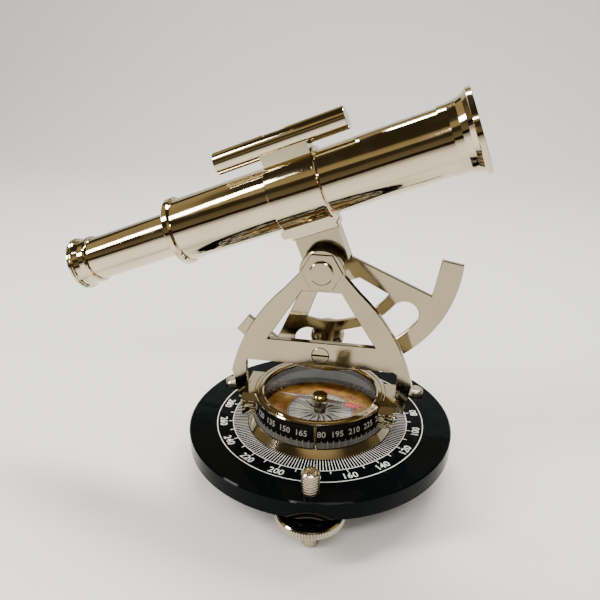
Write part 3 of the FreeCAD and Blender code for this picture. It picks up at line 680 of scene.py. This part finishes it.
@dataclass(frozen=True)
class Marks:
    """Bars set round an axis by geometry nodes: ticks, rays or the ribs of a knurl."""

    count: int
    radius: float
    length: float
    width: float
    height: float
    level: float = 0.0
    twist: float = 0.0
    slant: float = 0.0

    @staticmethod
    def tree() -> bpy.types.NodeTree:
        """Return the node tree that sets bars round an axis, built on first use."""
        known = bpy.data.node_groups.get("bars_round_axis")
        if known is not None:
            return known
        tree = bpy.data.node_groups.new("bars_round_axis", "GeometryNodeTree")
        face = tree.interface
        face.new_socket("Count", in_out="INPUT", socket_type="NodeSocketInt")
        for name in ("Radius", "Length", "Width", "Height", "Level", "Twist", "Slant"):
            face.new_socket(name, in_out="INPUT", socket_type="NodeSocketFloat")
        face.new_socket("Material", in_out="INPUT", socket_type="NodeSocketMaterial")
        face.new_socket("Geometry", in_out="OUTPUT", socket_type="NodeSocketGeometry")
        add = tree.nodes.new
        link = tree.links.new
        source, sink = add("NodeGroupInput"), add("NodeGroupOutput")
        circle = add("GeometryNodeMeshCircle")
        link(source.outputs["Count"], circle.inputs["Vertices"])
        link(source.outputs["Radius"], circle.inputs["Radius"])
        size, spin, bearing, lift = (add("ShaderNodeCombineXYZ") for _ in range(4))
        link(source.outputs["Length"], size.inputs["X"])
        link(source.outputs["Width"], size.inputs["Y"])
        link(source.outputs["Height"], size.inputs["Z"])
        link(source.outputs["Slant"], spin.inputs["Y"])
        link(source.outputs["Twist"], spin.inputs["Z"])
        link(source.outputs["Level"], lift.inputs["Z"])
        bar, turn = add("GeometryNodeMeshCube"), add("GeometryNodeTransform")
        link(size.outputs[0], bar.inputs["Size"])
        link(bar.outputs["Mesh"], turn.inputs["Geometry"])
        link(spin.outputs[0], turn.inputs["Rotation"])
        place, split = add("GeometryNodeInputPosition"), add("ShaderNodeSeparateXYZ")
        link(place.outputs[0], split.inputs[0])
        link(maths(tree, "ARCTAN2", split.outputs["Y"], split.outputs["X"]),
             bearing.inputs["Z"])
        copies = add("GeometryNodeInstanceOnPoints")
        link(circle.outputs["Mesh"], copies.inputs["Points"])
        link(turn.outputs["Geometry"], copies.inputs["Instance"])
        link(bearing.outputs[0], copies.inputs["Rotation"])
        move, real, paint = (add(kind) for kind in (
            "GeometryNodeTransform", "GeometryNodeRealizeInstances", "GeometryNodeSetMaterial"))
        link(copies.outputs["Instances"], move.inputs["Geometry"])
        link(lift.outputs[0], move.inputs["Translation"])
        link(move.outputs["Geometry"], real.inputs["Geometry"])
        link(real.outputs["Geometry"], paint.inputs["Geometry"])
        link(source.outputs["Material"], paint.inputs["Material"])
        link(paint.outputs["Geometry"], sink.inputs["Geometry"])
        return tree

    def mesh(self, finish: Finish, place: Matrix | None = None) -> bpy.types.Mesh:
        """Run the tree and return its result as a plain mesh.

        Args:
            finish: The finish of the bars.
            place: Moves the finished ring of bars.

        Returns:
            The mesh.
        """
        tree = self.tree()
        holder = bpy.data.objects.new("marks_holder", bpy.data.meshes.new("marks_holder"))
        bpy.context.scene.collection.objects.link(holder)
        modifier = holder.modifiers.new("marks", "NODES")
        modifier.node_group = tree
        values = {"Count": self.count, "Radius": self.radius, "Length": self.length,
                  "Width": self.width, "Height": self.height, "Level": self.level,
                  "Twist": self.twist, "Slant": self.slant, "Material": finish.material()}
        for item in tree.interface.items_tree:
            if item.in_out == "INPUT":
                modifier[item.identifier] = values[item.name]
        mesh = evaluated(holder)
        if place is not None:
            mesh.transform(place)
        return mesh


def evaluated(holder: bpy.types.Object) -> bpy.types.Mesh:
    """Return an object's finished shape as a plain mesh, and remove the object."""
    graph = bpy.context.evaluated_depsgraph_get()
    mesh = bpy.data.meshes.new_from_object(holder.evaluated_get(graph))
    data = holder.data
    bpy.data.objects.remove(holder)
    if isinstance(data, bpy.types.Mesh):
        bpy.data.meshes.remove(data)
    else:
        bpy.data.curves.remove(data)
    return mesh


def lettered(text: str, height: float, thickness: float) -> bpy.types.Mesh:
    """Make a word or a number lying in the XY plane, centred on the origin.

    Args:
        text: What it says.
        height: The height of its capitals.
        thickness: Its thickness.

    Returns:
        The mesh.
    """
    curve = bpy.data.curves.new("lettering", "FONT")
    curve.body = text
    curve.size = height / 0.70
    curve.align_x = "CENTER"
    curve.align_y = "CENTER"
    curve.extrude = thickness / 2
    curve.resolution_u = 3
    curve.offset = height * 0.012
    holder = bpy.data.objects.new("lettering", curve)
    bpy.context.scene.collection.objects.link(holder)
    return evaluated(holder)


def label_ring(name: str, words: Sequence[tuple[str, float]], height: float,
               place: Callable[[Vector, float], Vector], thickness: float = 0.05 * MM
               ) -> bpy.types.Mesh:
    """Set words round a dial.

    Args:
        name: The mesh's name.
        words: Each word and its bearing in radians.
        height: The height of the capitals.
        place: Turns a point of a word and its bearing into a point of the dial.
        thickness: How thick the print is.

    Returns:
        The mesh of all the words.
    """
    meshes = []
    for text, bearing in words:
        mesh = lettered(text, height, thickness)
        for vertex in mesh.vertices:
            vertex.co = place(vertex.co.copy(), bearing)
        meshes.append(mesh)
    return join(name, meshes)


def flat_place(radius: float, level: float, inward: bool) -> Callable[[Vector, float], Vector]:
    """Place words on a flat dial.

    Args:
        radius: The distance of the words' middle from the axis.
        level: The height of the dial's face.
        inward: True when the tops of the words point at the axis.

    Returns:
        A function for label_ring.
    """
    sign = -1.0 if inward else 1.0

    def place(point: Vector, bearing: float) -> Vector:
        """Move one point of a word to its place on the dial."""
        out = Vector((math.cos(bearing), math.sin(bearing), 0.0))
        side = Vector((-out.y, out.x, 0.0))
        across = side * (-sign * point.x)
        return out * (radius + sign * point.y) + across + Vector((0.0, 0.0, level + point.z))

    return place


# ------------------------------------------------------------------ sub-assemblies
@dataclass
class BaseDial:
    """Gloss black base with its printed circle of degrees."""

    nodes: dict[str, bpy.types.Object]
    inner: float = 28.3 * MM
    ring: float = 34.0 * MM
    outer: float = 40.15 * MM
    numbers: float = 37.75 * MM
    number_height: float = 2.75 * MM
    zero: float = math.radians(-84.5 + 180.0)
    proud: float = 0.03 * MM

    def build(self) -> None:
        """Dress the base and print its dial."""
        dress(self.nodes, ["base_plate"], BASE_LACQUER)
        dress(self.nodes, ["centre_bush"], BRASS)
        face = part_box("base_plate")[1][2]
        self.print_ticks(face)
        self.print_numbers(face)

    def print_ticks(self, face: float) -> None:
        """Print the two circles and the ticks at 2 and 10 degrees."""
        white = ink(Ink.WHITE)
        turn = Matrix.Rotation(self.zero, 4, "Z")
        fine = Marks(180, (self.inner + self.ring) / 2, self.ring - self.inner, 0.24 * MM,
                     2 * self.proud, face)
        tens = Marks(36, self.ring + 0.8 * MM, 1.7 * MM, 0.34 * MM, 2 * self.proud, face)
        circles = [printed_ring(radius, half, face, self.proud, self.proud, 180)
                   for radius, half in ((self.ring, 0.14 * MM), (self.outer, 0.16 * MM))]
        ticks = [marks.mesh(white, turn) for marks in (fine, tens)]
        add_piece("dial_ticks", join("dial_ticks", ticks + circles), white, Body.BASE)

    def print_numbers(self, face: float) -> None:
        """Print a number at every 20 degrees."""
        words = [(str(degrees), self.zero - math.radians(degrees))
                 for degrees in range(20, 361, 20)]
        mesh = label_ring("dial_numbers", words, self.number_height,
                          flat_place(self.numbers, face, inward=True))
        add_piece("dial_numbers", mesh, ink(Ink.WHITE), Body.BASE)


@dataclass
class Levelling:
    """Threaded levelling screws and their knurled thumb wheels."""

    nodes: dict[str, bpy.types.Object]
    sides: tuple[str, ...] = ("front", "right", "left")
    pitch: float = 1.0 * MM
    thread_depth: float = 0.15 * MM
    foot_radius: float = 2.95 * MM
    foot_height: float = 10.4 * MM
    ribs: int = 76

    def build(self) -> None:
        """Build the three screws and the three wheels."""
        for side in self.sides:
            self.screw(side)
            self.wheel(side)

    def screw(self, side: str) -> None:
        """Cut a helical thread on one screw.

        Args:
            side: Which screw.
        """
        node = "levelling_screw_" + side
        low, high = (Vector(corner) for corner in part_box(node))
        radius = (high.x - low.x) / 2
        length = high.z - low.z
        rows = int(length / self.pitch * 8)
        profile = [(0.0, 0.0)]
        profile += [(radius, length * row / rows) for row in range(rows + 1)]
        profile += [(radius * 0.45, length), (0.0, length - 0.5 * MM)]

        def thread(reach: float, height: float, angle: float) -> float:
            """Give the thread's radius at a height and an angle."""
            if reach < radius:
                return reach
            if height < self.foot_height:
                return min(self.foot_radius, self.foot_radius - 0.45 * MM + height)
            end = min(height - self.foot_height + 0.4 * MM, length - height)
            chamfer = radius - max(0.0, 0.75 * MM - end)
            phase = (height / self.pitch - angle / math.tau) % 1.0
            groove = self.thread_depth * max(0.0, 1.0 - abs(2.0 * phase - 1.0) * 1.3)
            return min(chamfer, radius - groove)

        mesh = smooth(turned(node, profile, 40, thread), 50.0)
        mesh.transform(Matrix.Translation(((low.x + high.x) / 2, (low.y + high.y) / 2, low.z)))
        # The screw's darker colour is partly painted shade on its foot.
        add_piece("threaded_screw_" + side, mesh, SHADED_THREAD_NICKEL, "screw_" + side,
                  [node])

    def wheel(self, side: str) -> None:
        """Knurl the rim of one thumb wheel.

        Args:
            side: Which wheel.
        """
        node = "thumb_wheel_" + side
        low, high = (Vector(corner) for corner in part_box(node))
        rim = (high.x - low.x) / 2
        bore = 3.25 * MM
        height = high.z - low.z
        core = rim - 0.37 * MM
        dish = 0.35 * MM
        profile = [(bore, 0.0), (core - 0.5 * MM, 0.0), (core, 0.4 * MM),
                   (core, height - 0.4 * MM), (core - 0.5 * MM, height),
                   (core - 1.6 * MM, height), (core - 2.0 * MM, height - dish * 0.5),
                   (6.2 * MM, height - dish * 0.5), (5.6 * MM, height), (bore, height)]
        place = Matrix.Translation(((low.x + high.x) / 2, (low.y + high.y) / 2, low.z))
        body = smooth(turned(node, profile, 144), 25.0)
        body.transform(place)
        add_piece("wheel_disc_" + side, body, NICKEL, "wheel_" + side, [node])
        side_length = 0.52 * MM
        ribs = Marks(self.ribs, rim - side_length / math.sqrt(2) - 0.005 * MM, side_length,
                     side_length, height - 0.7 * MM, height / 2, twist=math.radians(45.0))
        # The knurl ribs carry painted shade in their darker colour.
        add_piece("wheel_knurl_" + side, ribs.mesh(SHADED_KNURL_NICKEL, place), SHADED_KNURL_NICKEL,
                  "wheel_" + side)


@dataclass
class Compass:
    """Compass box with its scale band, card, glass, bezel and needle."""

    nodes: dict[str, bpy.types.Object]
    index: float = math.radians(-84.7)
    band_numbers: float = 2.25 * MM
    band_taper: float = 1.0 * MM
    band_step: int = 15
    band_shift: float = 3.2
    card_outer: float = 22.1 * MM
    rose_radius: float = 12.6 * MM
    needle_bearing: float = math.radians(-8.0)

    def build(self) -> None:
        """Dress the compass and print its scales."""
        dress(self.nodes, ["turntable", "bezel", "scale_index", "retaining_washer",
                           "retaining_screw"], NICKEL)
        dress(self.nodes, ["compass_box"], BAND_BLACK)
        # The card colours carry painted shade from the standard above.
        dress(self.nodes, ["degree_ring"], SHADED_GOLD_CARD)
        dress(self.nodes, ["compass_rose"], SHADED_WHITE_CARD)
        dress(self.nodes, ["compass_glass"], CLEAR_GLASS)
        dress(self.nodes, ["needle_cap"], BRASS)
        dress(self.nodes, ["needle_pivot"], DARK_PIVOT_METAL)
        dress(self.nodes, ["compass_needle"], STEEL)
        self.print_band()
        self.print_card()
        self.print_rose()
        self.paint_needle()

    def print_band(self) -> None:
        """Print the sloping scale band: fine ticks below, numbers above."""
        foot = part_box("turntable")[1][2]
        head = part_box("compass_box")[1][2]
        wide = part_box("compass_box")[1][0]
        narrow = wide - self.band_taper
        slope = math.hypot(head - foot, wide - narrow)
        lean = math.atan2(wide - narrow, head - foot)

        def on_band(along: float, out: float) -> tuple[float, float]:
            """Give the radius and level of a point that lies along and off the band."""
            share = along / slope
            return (wide + (narrow - wide) * share + out * math.cos(lean),
                    foot + (head - foot) * share + out * math.sin(lean))

        def place(point: Vector, bearing: float) -> Vector:
            """Move one point of a number onto the band."""
            radius, level = on_band(slope * 0.62 + point.y, 0.02 * MM + point.z)
            angle = bearing + point.x / radius
            return Vector((radius * math.cos(angle), radius * math.sin(angle), level))

        words = [(str((degrees + 180) % 360 or 360),
                  self.index + math.radians(degrees + self.band_shift))
                 for degrees in range(0, 360, self.band_step)]
        grey = ink(Ink.GREY)
        numbers = label_ring("band_numbers", words, self.band_numbers, place, 0.04 * MM)
        add_piece("band_numbers", numbers, grey, Body.ALIDADE)
        rings = []
        for count, length, width in ((360, 2.2, 0.15), (72, 2.9, 0.20)):
            radius, level = on_band((0.3 + length / 2) * MM, 0.02 * MM)
            marks = Marks(count, radius, 0.05 * MM, width * MM, length * MM, level,
                          slant=-lean)
            rings.append(marks.mesh(grey, Matrix.Rotation(self.index, 4, "Z")))
        add_piece("band_ticks", join("band_ticks", rings), grey, Body.ALIDADE)

    def print_card(self) -> None:
        """Print the gold degree ring."""
        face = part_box("degree_ring")[1][2]
        sepia = ink(Ink.SEPIA)
        rings = [
            Marks(180, self.card_outer - 0.5 * MM, 0.9 * MM, 0.14 * MM, 0.05 * MM, face),
            Marks(36, self.card_outer - 0.9 * MM, 1.8 * MM, 0.20 * MM, 0.05 * MM, face),
            Marks(72, 13.7 * MM, 0.8 * MM, 0.16 * MM, 0.05 * MM, face),
        ]
        meshes = [marks.mesh(sepia) for marks in rings]
        for radius in (13.15, 14.2, 19.9):
            meshes.append(printed_ring(radius * MM, 0.08 * MM, face, 0.02 * MM, 0.025 * MM))
        degrees = [(str(number), math.radians(90.0 - number))
                   for number in range(20, 361, 20)]
        meshes.append(label_ring("card_numbers", degrees, 1.15 * MM,
                                 flat_place(18.9 * MM, face, inward=False)))
        minor = [(word, math.radians(angle)) for word, angle in
                 (("NE", 45.0), ("NW", 135.0), ("SW", 225.0), ("SE", 315.0))]
        meshes.append(label_ring("card_minor", minor, 1.9 * MM,
                                 flat_place(16.2 * MM, face, inward=False)))
        add_piece("card_print", join("card_print", meshes), sepia, Body.ALIDADE)
        major = [(word, math.radians(angle)) for word, angle in
                 (("N", 90.0), ("W", 180.0), ("S", 270.0), ("E", 0.0))]
        letters = label_ring("card_letters", major, 2.6 * MM,
                             flat_place(16.2 * MM, face, inward=False))
        add_piece("card_letters", letters, ink(Ink.RED), Body.ALIDADE)

    def print_rose(self) -> None:
        """Print the rays and the pointed star of the white rose."""
        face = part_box("compass_rose")[1][2]
        black = ink(Ink.BLACK)
        rays = Marks(32, (self.rose_radius + 2.6 * MM) / 2, self.rose_radius - 2.6 * MM,
                     0.24 * MM, 0.05 * MM, face)
        meshes = [rays.mesh(black)]
        meshes.append(printed_ring(self.rose_radius - 0.125 * MM, 0.125 * MM, face, 0.02 * MM,
                                   0.025 * MM))
        for count, reach, half, start in ((8, 11.9, 0.95, 0.0), (8, 10.2, 0.70, 22.5)):
            for point in range(count):
                bearing = math.radians(start + 360.0 * point / count)
                meshes.append(self.dart(bearing, reach * MM, half * MM, face))
        add_piece("rose_print", join("rose_print", meshes), black, Body.ALIDADE)

    @staticmethod
    def dart(bearing: float, reach: float, half: float, face: float) -> bpy.types.Mesh:
        """Make the dark half of one point of the star.

        Args:
            bearing: Its direction.
            reach: Its length from the centre.
            half: Its width at the widest place.
            face: The height of the card.

        Returns:
            The mesh.
        """
        corners = [(2.4 * MM, 0.0), (5.0 * MM, half), (reach, 0.0)]
        turn = Matrix.Rotation(bearing, 4, "Z")
        points = [turn @ Vector((x, y, face + lift)) for lift in (-0.02 * MM, 0.03 * MM)
                  for x, y in corners]
        return from_faces("dart", points, [(0, 1, 2), (5, 4, 3), (0, 3, 4, 1), (1, 4, 5, 2),
                                           (2, 5, 3, 0)])

    def paint_needle(self) -> None:
        """Lay red paint over one end of the needle."""
        low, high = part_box("compass_needle")
        top = high[2] + 0.03 * MM
        bottom = low[2] - 0.02 * MM
        corners = [(10.2, -1.31), (14.1, -1.26), (16.55, 0.0), (14.1, 1.26), (10.2, 1.31)]
        turn = Matrix.Rotation(self.needle_bearing, 4, "Z")
        points = [turn @ Vector((x * MM, y * MM, level)) for level in (bottom, top)
                  for x, y in corners]
        count = len(corners)
        sides = [(i, (i + 1) % count, count + (i + 1) % count, count + i)
                 for i in range(count)]
        mesh = from_faces("needle_red_end", points,
                          [tuple(range(count)), tuple(range(2 * count - 1, count - 1, -1))]
                          + sides)
        add_piece("needle_red_end", mesh, RED_PAINT, Body.NEEDLE)


@dataclass
class Standard:
    """A-shaped standard with its brackets, trunnion and clamp."""

    nodes: dict[str, bpy.types.Object]
    ribs: int = 40

    def build(self) -> None:
        """Dress the standard and knurl the clamp knob."""
        low, high = (Vector(corner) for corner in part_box("pivot_bolt"))
        pivot = ((low.x + high.x) / 2, 0.0, (low.z + high.z) / 2)
        # The apex, bolt, washer, nut and clamp screw take the darker plate colour: painted shade
        # in their reflection.
        apex = Polished("turned_shaded_nickel", SHADED_PLATE_COLOUR, 0.07, tarnish=SHADED_PLATE_NICKEL.tarnish,
                        rings_at=pivot, rings_reach=7.6 * MM)
        dress(self.nodes, ["standard", "pivot_bolt", "pivot_washer", "pivot_nut"], apex)
        dress(self.nodes, ["clamp_screw"], SHADED_PLATE_NICKEL)
        dress(self.nodes, ["bracket_left", "bracket_right", "bracket_screws", "pivot_spacer",
                           "clamp_knob"], NICKEL)
        self.knurl_knob()

    def knurl_knob(self) -> None:
        """Set fine ribs round the clamp knob."""
        low, high = (Vector(corner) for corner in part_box("clamp_knob"))
        radius = (high.x - low.x) / 2
        middle = (low + high) / 2
        rib = 0.5 * MM
        place = Matrix.Translation(middle) @ Matrix.Rotation(math.radians(90.0), 4, "X")
        ribs = Marks(self.ribs, radius - 0.05 * MM, rib, rib, 4.6 * MM, 0.0,
                     twist=math.radians(45.0))
        # The knob's ribs carry painted shade in their darker colour.
        add_piece("knob_knurl", ribs.mesh(SHADED_KNURL_NICKEL, place), SHADED_KNURL_NICKEL, Body.CLAMP)


@dataclass
class Telescope:
    """Telescope, draw tube, spirit level and sector."""

    nodes: dict[str, bpy.types.Object]
    joints: dict[str, dict]
    level: float = 47.2 * MM
    depth: float = 9.5 * MM
    frame: Matrix = field(default_factory=Matrix)

    def build(self) -> None:
        """Dress the telescope and fill its level."""
        axis = Vector(self.joints["focus_slide"]["axis"]).normalized()
        across = Vector((0.0, 1.0, 0.0))
        rise = axis.cross(across)
        pivot = Vector(self.joints["telescope_tilt"]["pos_m"])
        self.frame = Matrix((axis, across, rise)).transposed().to_4x4()
        self.frame.translation = Vector((pivot.x, 0.0, pivot.z))
        tilt = math.atan2(axis.z, axis.x)
        tubes = Polished("drawn_nickel", NICKEL_COLOUR, 0.035, wavy=0.18, tilt=tilt)
        dress(self.nodes, ["main_tube", "collar", "end_ring", "objective_bell",
                           "lens_retainer", "draw_tube", "guide_ring", "eyepiece_cup",
                           "level_tube", "level_cap_rear", "level_cap_front",
                           "level_saddle"], tubes)
        # Sector, its screws and the trunnion block take the darker plate nickel: painted shade in
        # their reflection.
        dress(self.nodes, ["sector", "sector_screws", "trunnion_block"], SHADED_PLATE_NICKEL)
        dress(self.nodes, ["block_cap", "saddle"], NICKEL)
        dress(self.nodes, ["eyepiece_ring"], BRASS)
        dress(self.nodes, ["objective_lens", "eyepiece_lens"], COATED_LENS)
        dress(self.nodes, ["level_vial"], VIAL_GLASS)
        self.bubble()

    def bubble(self) -> None:
        """Set the bubble and the two index lines on the vial."""
        shape = bmesh.new()
        bmesh.ops.create_uvsphere(shape, u_segments=32, v_segments=16, radius=1.0)
        mesh = bpy.data.meshes.new("level_bubble")
        shape.to_mesh(mesh)
        shape.free()
        centre = Vector((-1.6 * MM, self.depth, self.level + 2.95 * MM))
        sized = Matrix.Diagonal((2.3 * MM, 1.15 * MM, 0.50 * MM, 1.0))
        mesh.transform(self.frame @ Matrix.Translation(centre) @ sized)
        add_piece("level_bubble", smooth(mesh), BUBBLE, Body.TELESCOPE)
        lines = []
        for station in (-4.6, 1.4):
            line = printed_ring(3.305 * MM, 0.055 * MM, 0.0, 0.1 * MM, 0.1 * MM, 64)
            lie = Matrix.Rotation(math.radians(90.0), 4, "Y")
            line.transform(self.frame @ Matrix.Translation(
                (station * MM, self.depth, self.level)) @ lie)
            lines.append(line)
        add_piece("level_lines", join("level_lines", lines), ink(Ink.BLACK), Body.TELESCOPE)


# ------------------------------------------------------------------ studio
@dataclass(frozen=True)
class SoftLight:
    """A rectangular soft light aimed at a point."""

    name: str
    place: tuple[float, float, float]
    target: tuple[float, float, float]
    size: tuple[float, float]
    power: float
    colour: Colour = (1.0, 1.0, 1.0)

    def build(self) -> None:
        """Add the light."""
        data = bpy.data.lights.new(self.name, "AREA")
        data.shape = "RECTANGLE"
        data.size, data.size_y = self.size
        data.energy = self.power
        data.color = self.colour
        light = bpy.data.objects.new(self.name, data)
        aim = Vector(self.target) - Vector(self.place)
        light.matrix_world = (Matrix.Translation(self.place)
                              @ aim.to_track_quat("-Z", "Y").to_matrix().to_4x4())
        bpy.context.scene.collection.objects.link(light)


@dataclass
class Studio:
    """Floor, lights, surroundings and camera."""

    eye: Vector = field(default_factory=lambda: Vector((34.25, -223.47, 169.86)) * MM)
    forward: Vector = field(default_factory=lambda: Vector((-0.1711, 0.9021, -0.3961)))
    up: Vector = field(default_factory=lambda: Vector((-0.0781, 0.3884, 0.9182)))
    view_angle: float = math.radians(48.13)
    floor_reach: float = 2.4
    floor_end: float = 0.50
    sweep_radius: float = 0.35
    wall_top: float = 0.60
    room_height: tuple[tuple[float, Colour], ...] = (
        (0.0, (0.06, 0.045, 0.03)), (0.02, (0.015, 0.010, 0.006)),
        (0.08, (0.02, 0.014, 0.008)), (0.11, (0.26, 0.20, 0.115)),
        (0.30, (0.20, 0.155, 0.085)), (0.38, (0.06, 0.045, 0.024)),
        (0.52, (0.06, 0.045, 0.024)), (0.57, (0.62, 0.48, 0.25)),
        (0.69, (0.50, 0.38, 0.19)), (0.75, (0.06, 0.045, 0.024)),
        (0.90, (0.05, 0.038, 0.020)), (1.0, (0.14, 0.12, 0.085)))
    room_pale: Colour = (0.78, 0.77, 0.74)
    room_strength: float = 0.85

    def build(self) -> None:
        """Set up the studio."""
        self.floor()
        self.surroundings()
        for light in (
            SoftLight("back_strip", (0.05, 0.30, 0.62), (0.0, 0.0, 0.05), (0.60, 0.10), 6.5,
                      (1.0, 0.99, 0.96)),
            SoftLight("left_strip", (-0.50, -0.22, 0.46), (0.0, 0.0, 0.05), (0.12, 0.34), 4.0,
                      (1.0, 0.98, 0.94)),
            SoftLight("front_strip", (0.10, -0.46, 0.58), (0.0, 0.0, 0.03), (0.50, 0.05), 2.6,
                      (1.0, 0.96, 0.90)),
        ):
            light.build()
        self.camera()

    def floor(self) -> None:
        """Lay the floor and sweep it up into a distant wall."""
        reach, start, bend = self.floor_reach, self.floor_end, self.sweep_radius
        line = [(-reach, 0.0), (-0.5, 0.0), (start, 0.0)]
        line += [(start + bend * math.sin(turn), bend - bend * math.cos(turn))
                 for turn in (math.radians(90.0 * step / 24) for step in range(1, 25))]
        line.append((start + bend, self.wall_top))
        points = [(x, y, z) for y, z in line for x in (-reach, reach)]
        faces = [(2 * row, 2 * row + 1, 2 * row + 3, 2 * row + 2)
                 for row in range(len(line) - 1)]
        mesh = bpy.data.meshes.new("floor")
        mesh.from_pydata(points, [], faces)
        mesh.shade_smooth()
        mesh.materials.append(Plain("studio_floor", (0.80, 0.79, 0.765), 0.65).material())
        floor = bpy.data.objects.new("floor", mesh)
        bpy.context.scene.collection.objects.link(floor)

    def surroundings(self) -> None:
        """Surround the object with soft pale light, and give gloss a dim brown room."""
        world = bpy.data.worlds.new("studio")
        world.use_nodes = True
        bpy.context.scene.world = world
        tree = world.node_tree
        back = tree.nodes["Background"]
        coordinates = tree.nodes.new("ShaderNodeTexCoord")
        split = tree.nodes.new("ShaderNodeSeparateXYZ")
        tree.links.new(coordinates.outputs["Generated"], split.inputs[0])
        sight = tree.nodes.new("ShaderNodeLightPath")
        height = tree.nodes.new("ShaderNodeValToRGB")
        stops = self.room_height
        elements = height.color_ramp.elements
        while len(elements) < len(stops):
            elements.new(0.5)
        for element, (position, colour) in zip(elements, stops):
            element.position = position
            element.color = (*colour, 1.0)
        tree.links.new(split.outputs["Z"], height.inputs["Fac"])
        tree.links.new(mix(tree, sight.outputs["Is Glossy Ray"], self.room_pale,
                           height.outputs["Color"]),
                       back.inputs["Color"])
        back.inputs["Strength"].default_value = self.room_strength

    def camera(self) -> None:
        """Place the camera."""
        data = bpy.data.cameras.new("camera")
        data.angle = self.view_angle
        data.clip_start = 0.005
        camera = bpy.data.objects.new("camera", data)
        away = -self.forward.normalized()
        right = self.up.cross(away).normalized()
        upright = away.cross(right)
        camera.matrix_world = (Matrix.Translation(self.eye)
                               @ Matrix((right, upright, away)).transposed().to_4x4())
        bpy.context.scene.collection.objects.link(camera)
        bpy.context.scene.camera = camera


def main() -> None:
    """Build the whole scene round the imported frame."""
    logging.basicConfig(level=logging.INFO, format="%(message)s")
    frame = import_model()
    nodes = frame["nodes"]
    joints = {joint["name"]: joint for joint in frame["record"]["behaviour"]["joints"]}
    for assembly in (BaseDial(nodes), Levelling(nodes), Compass(nodes), Standard(nodes),
                     Telescope(nodes, joints), Studio()):
        assembly.build()


if __name__ == "__main__":
    main()
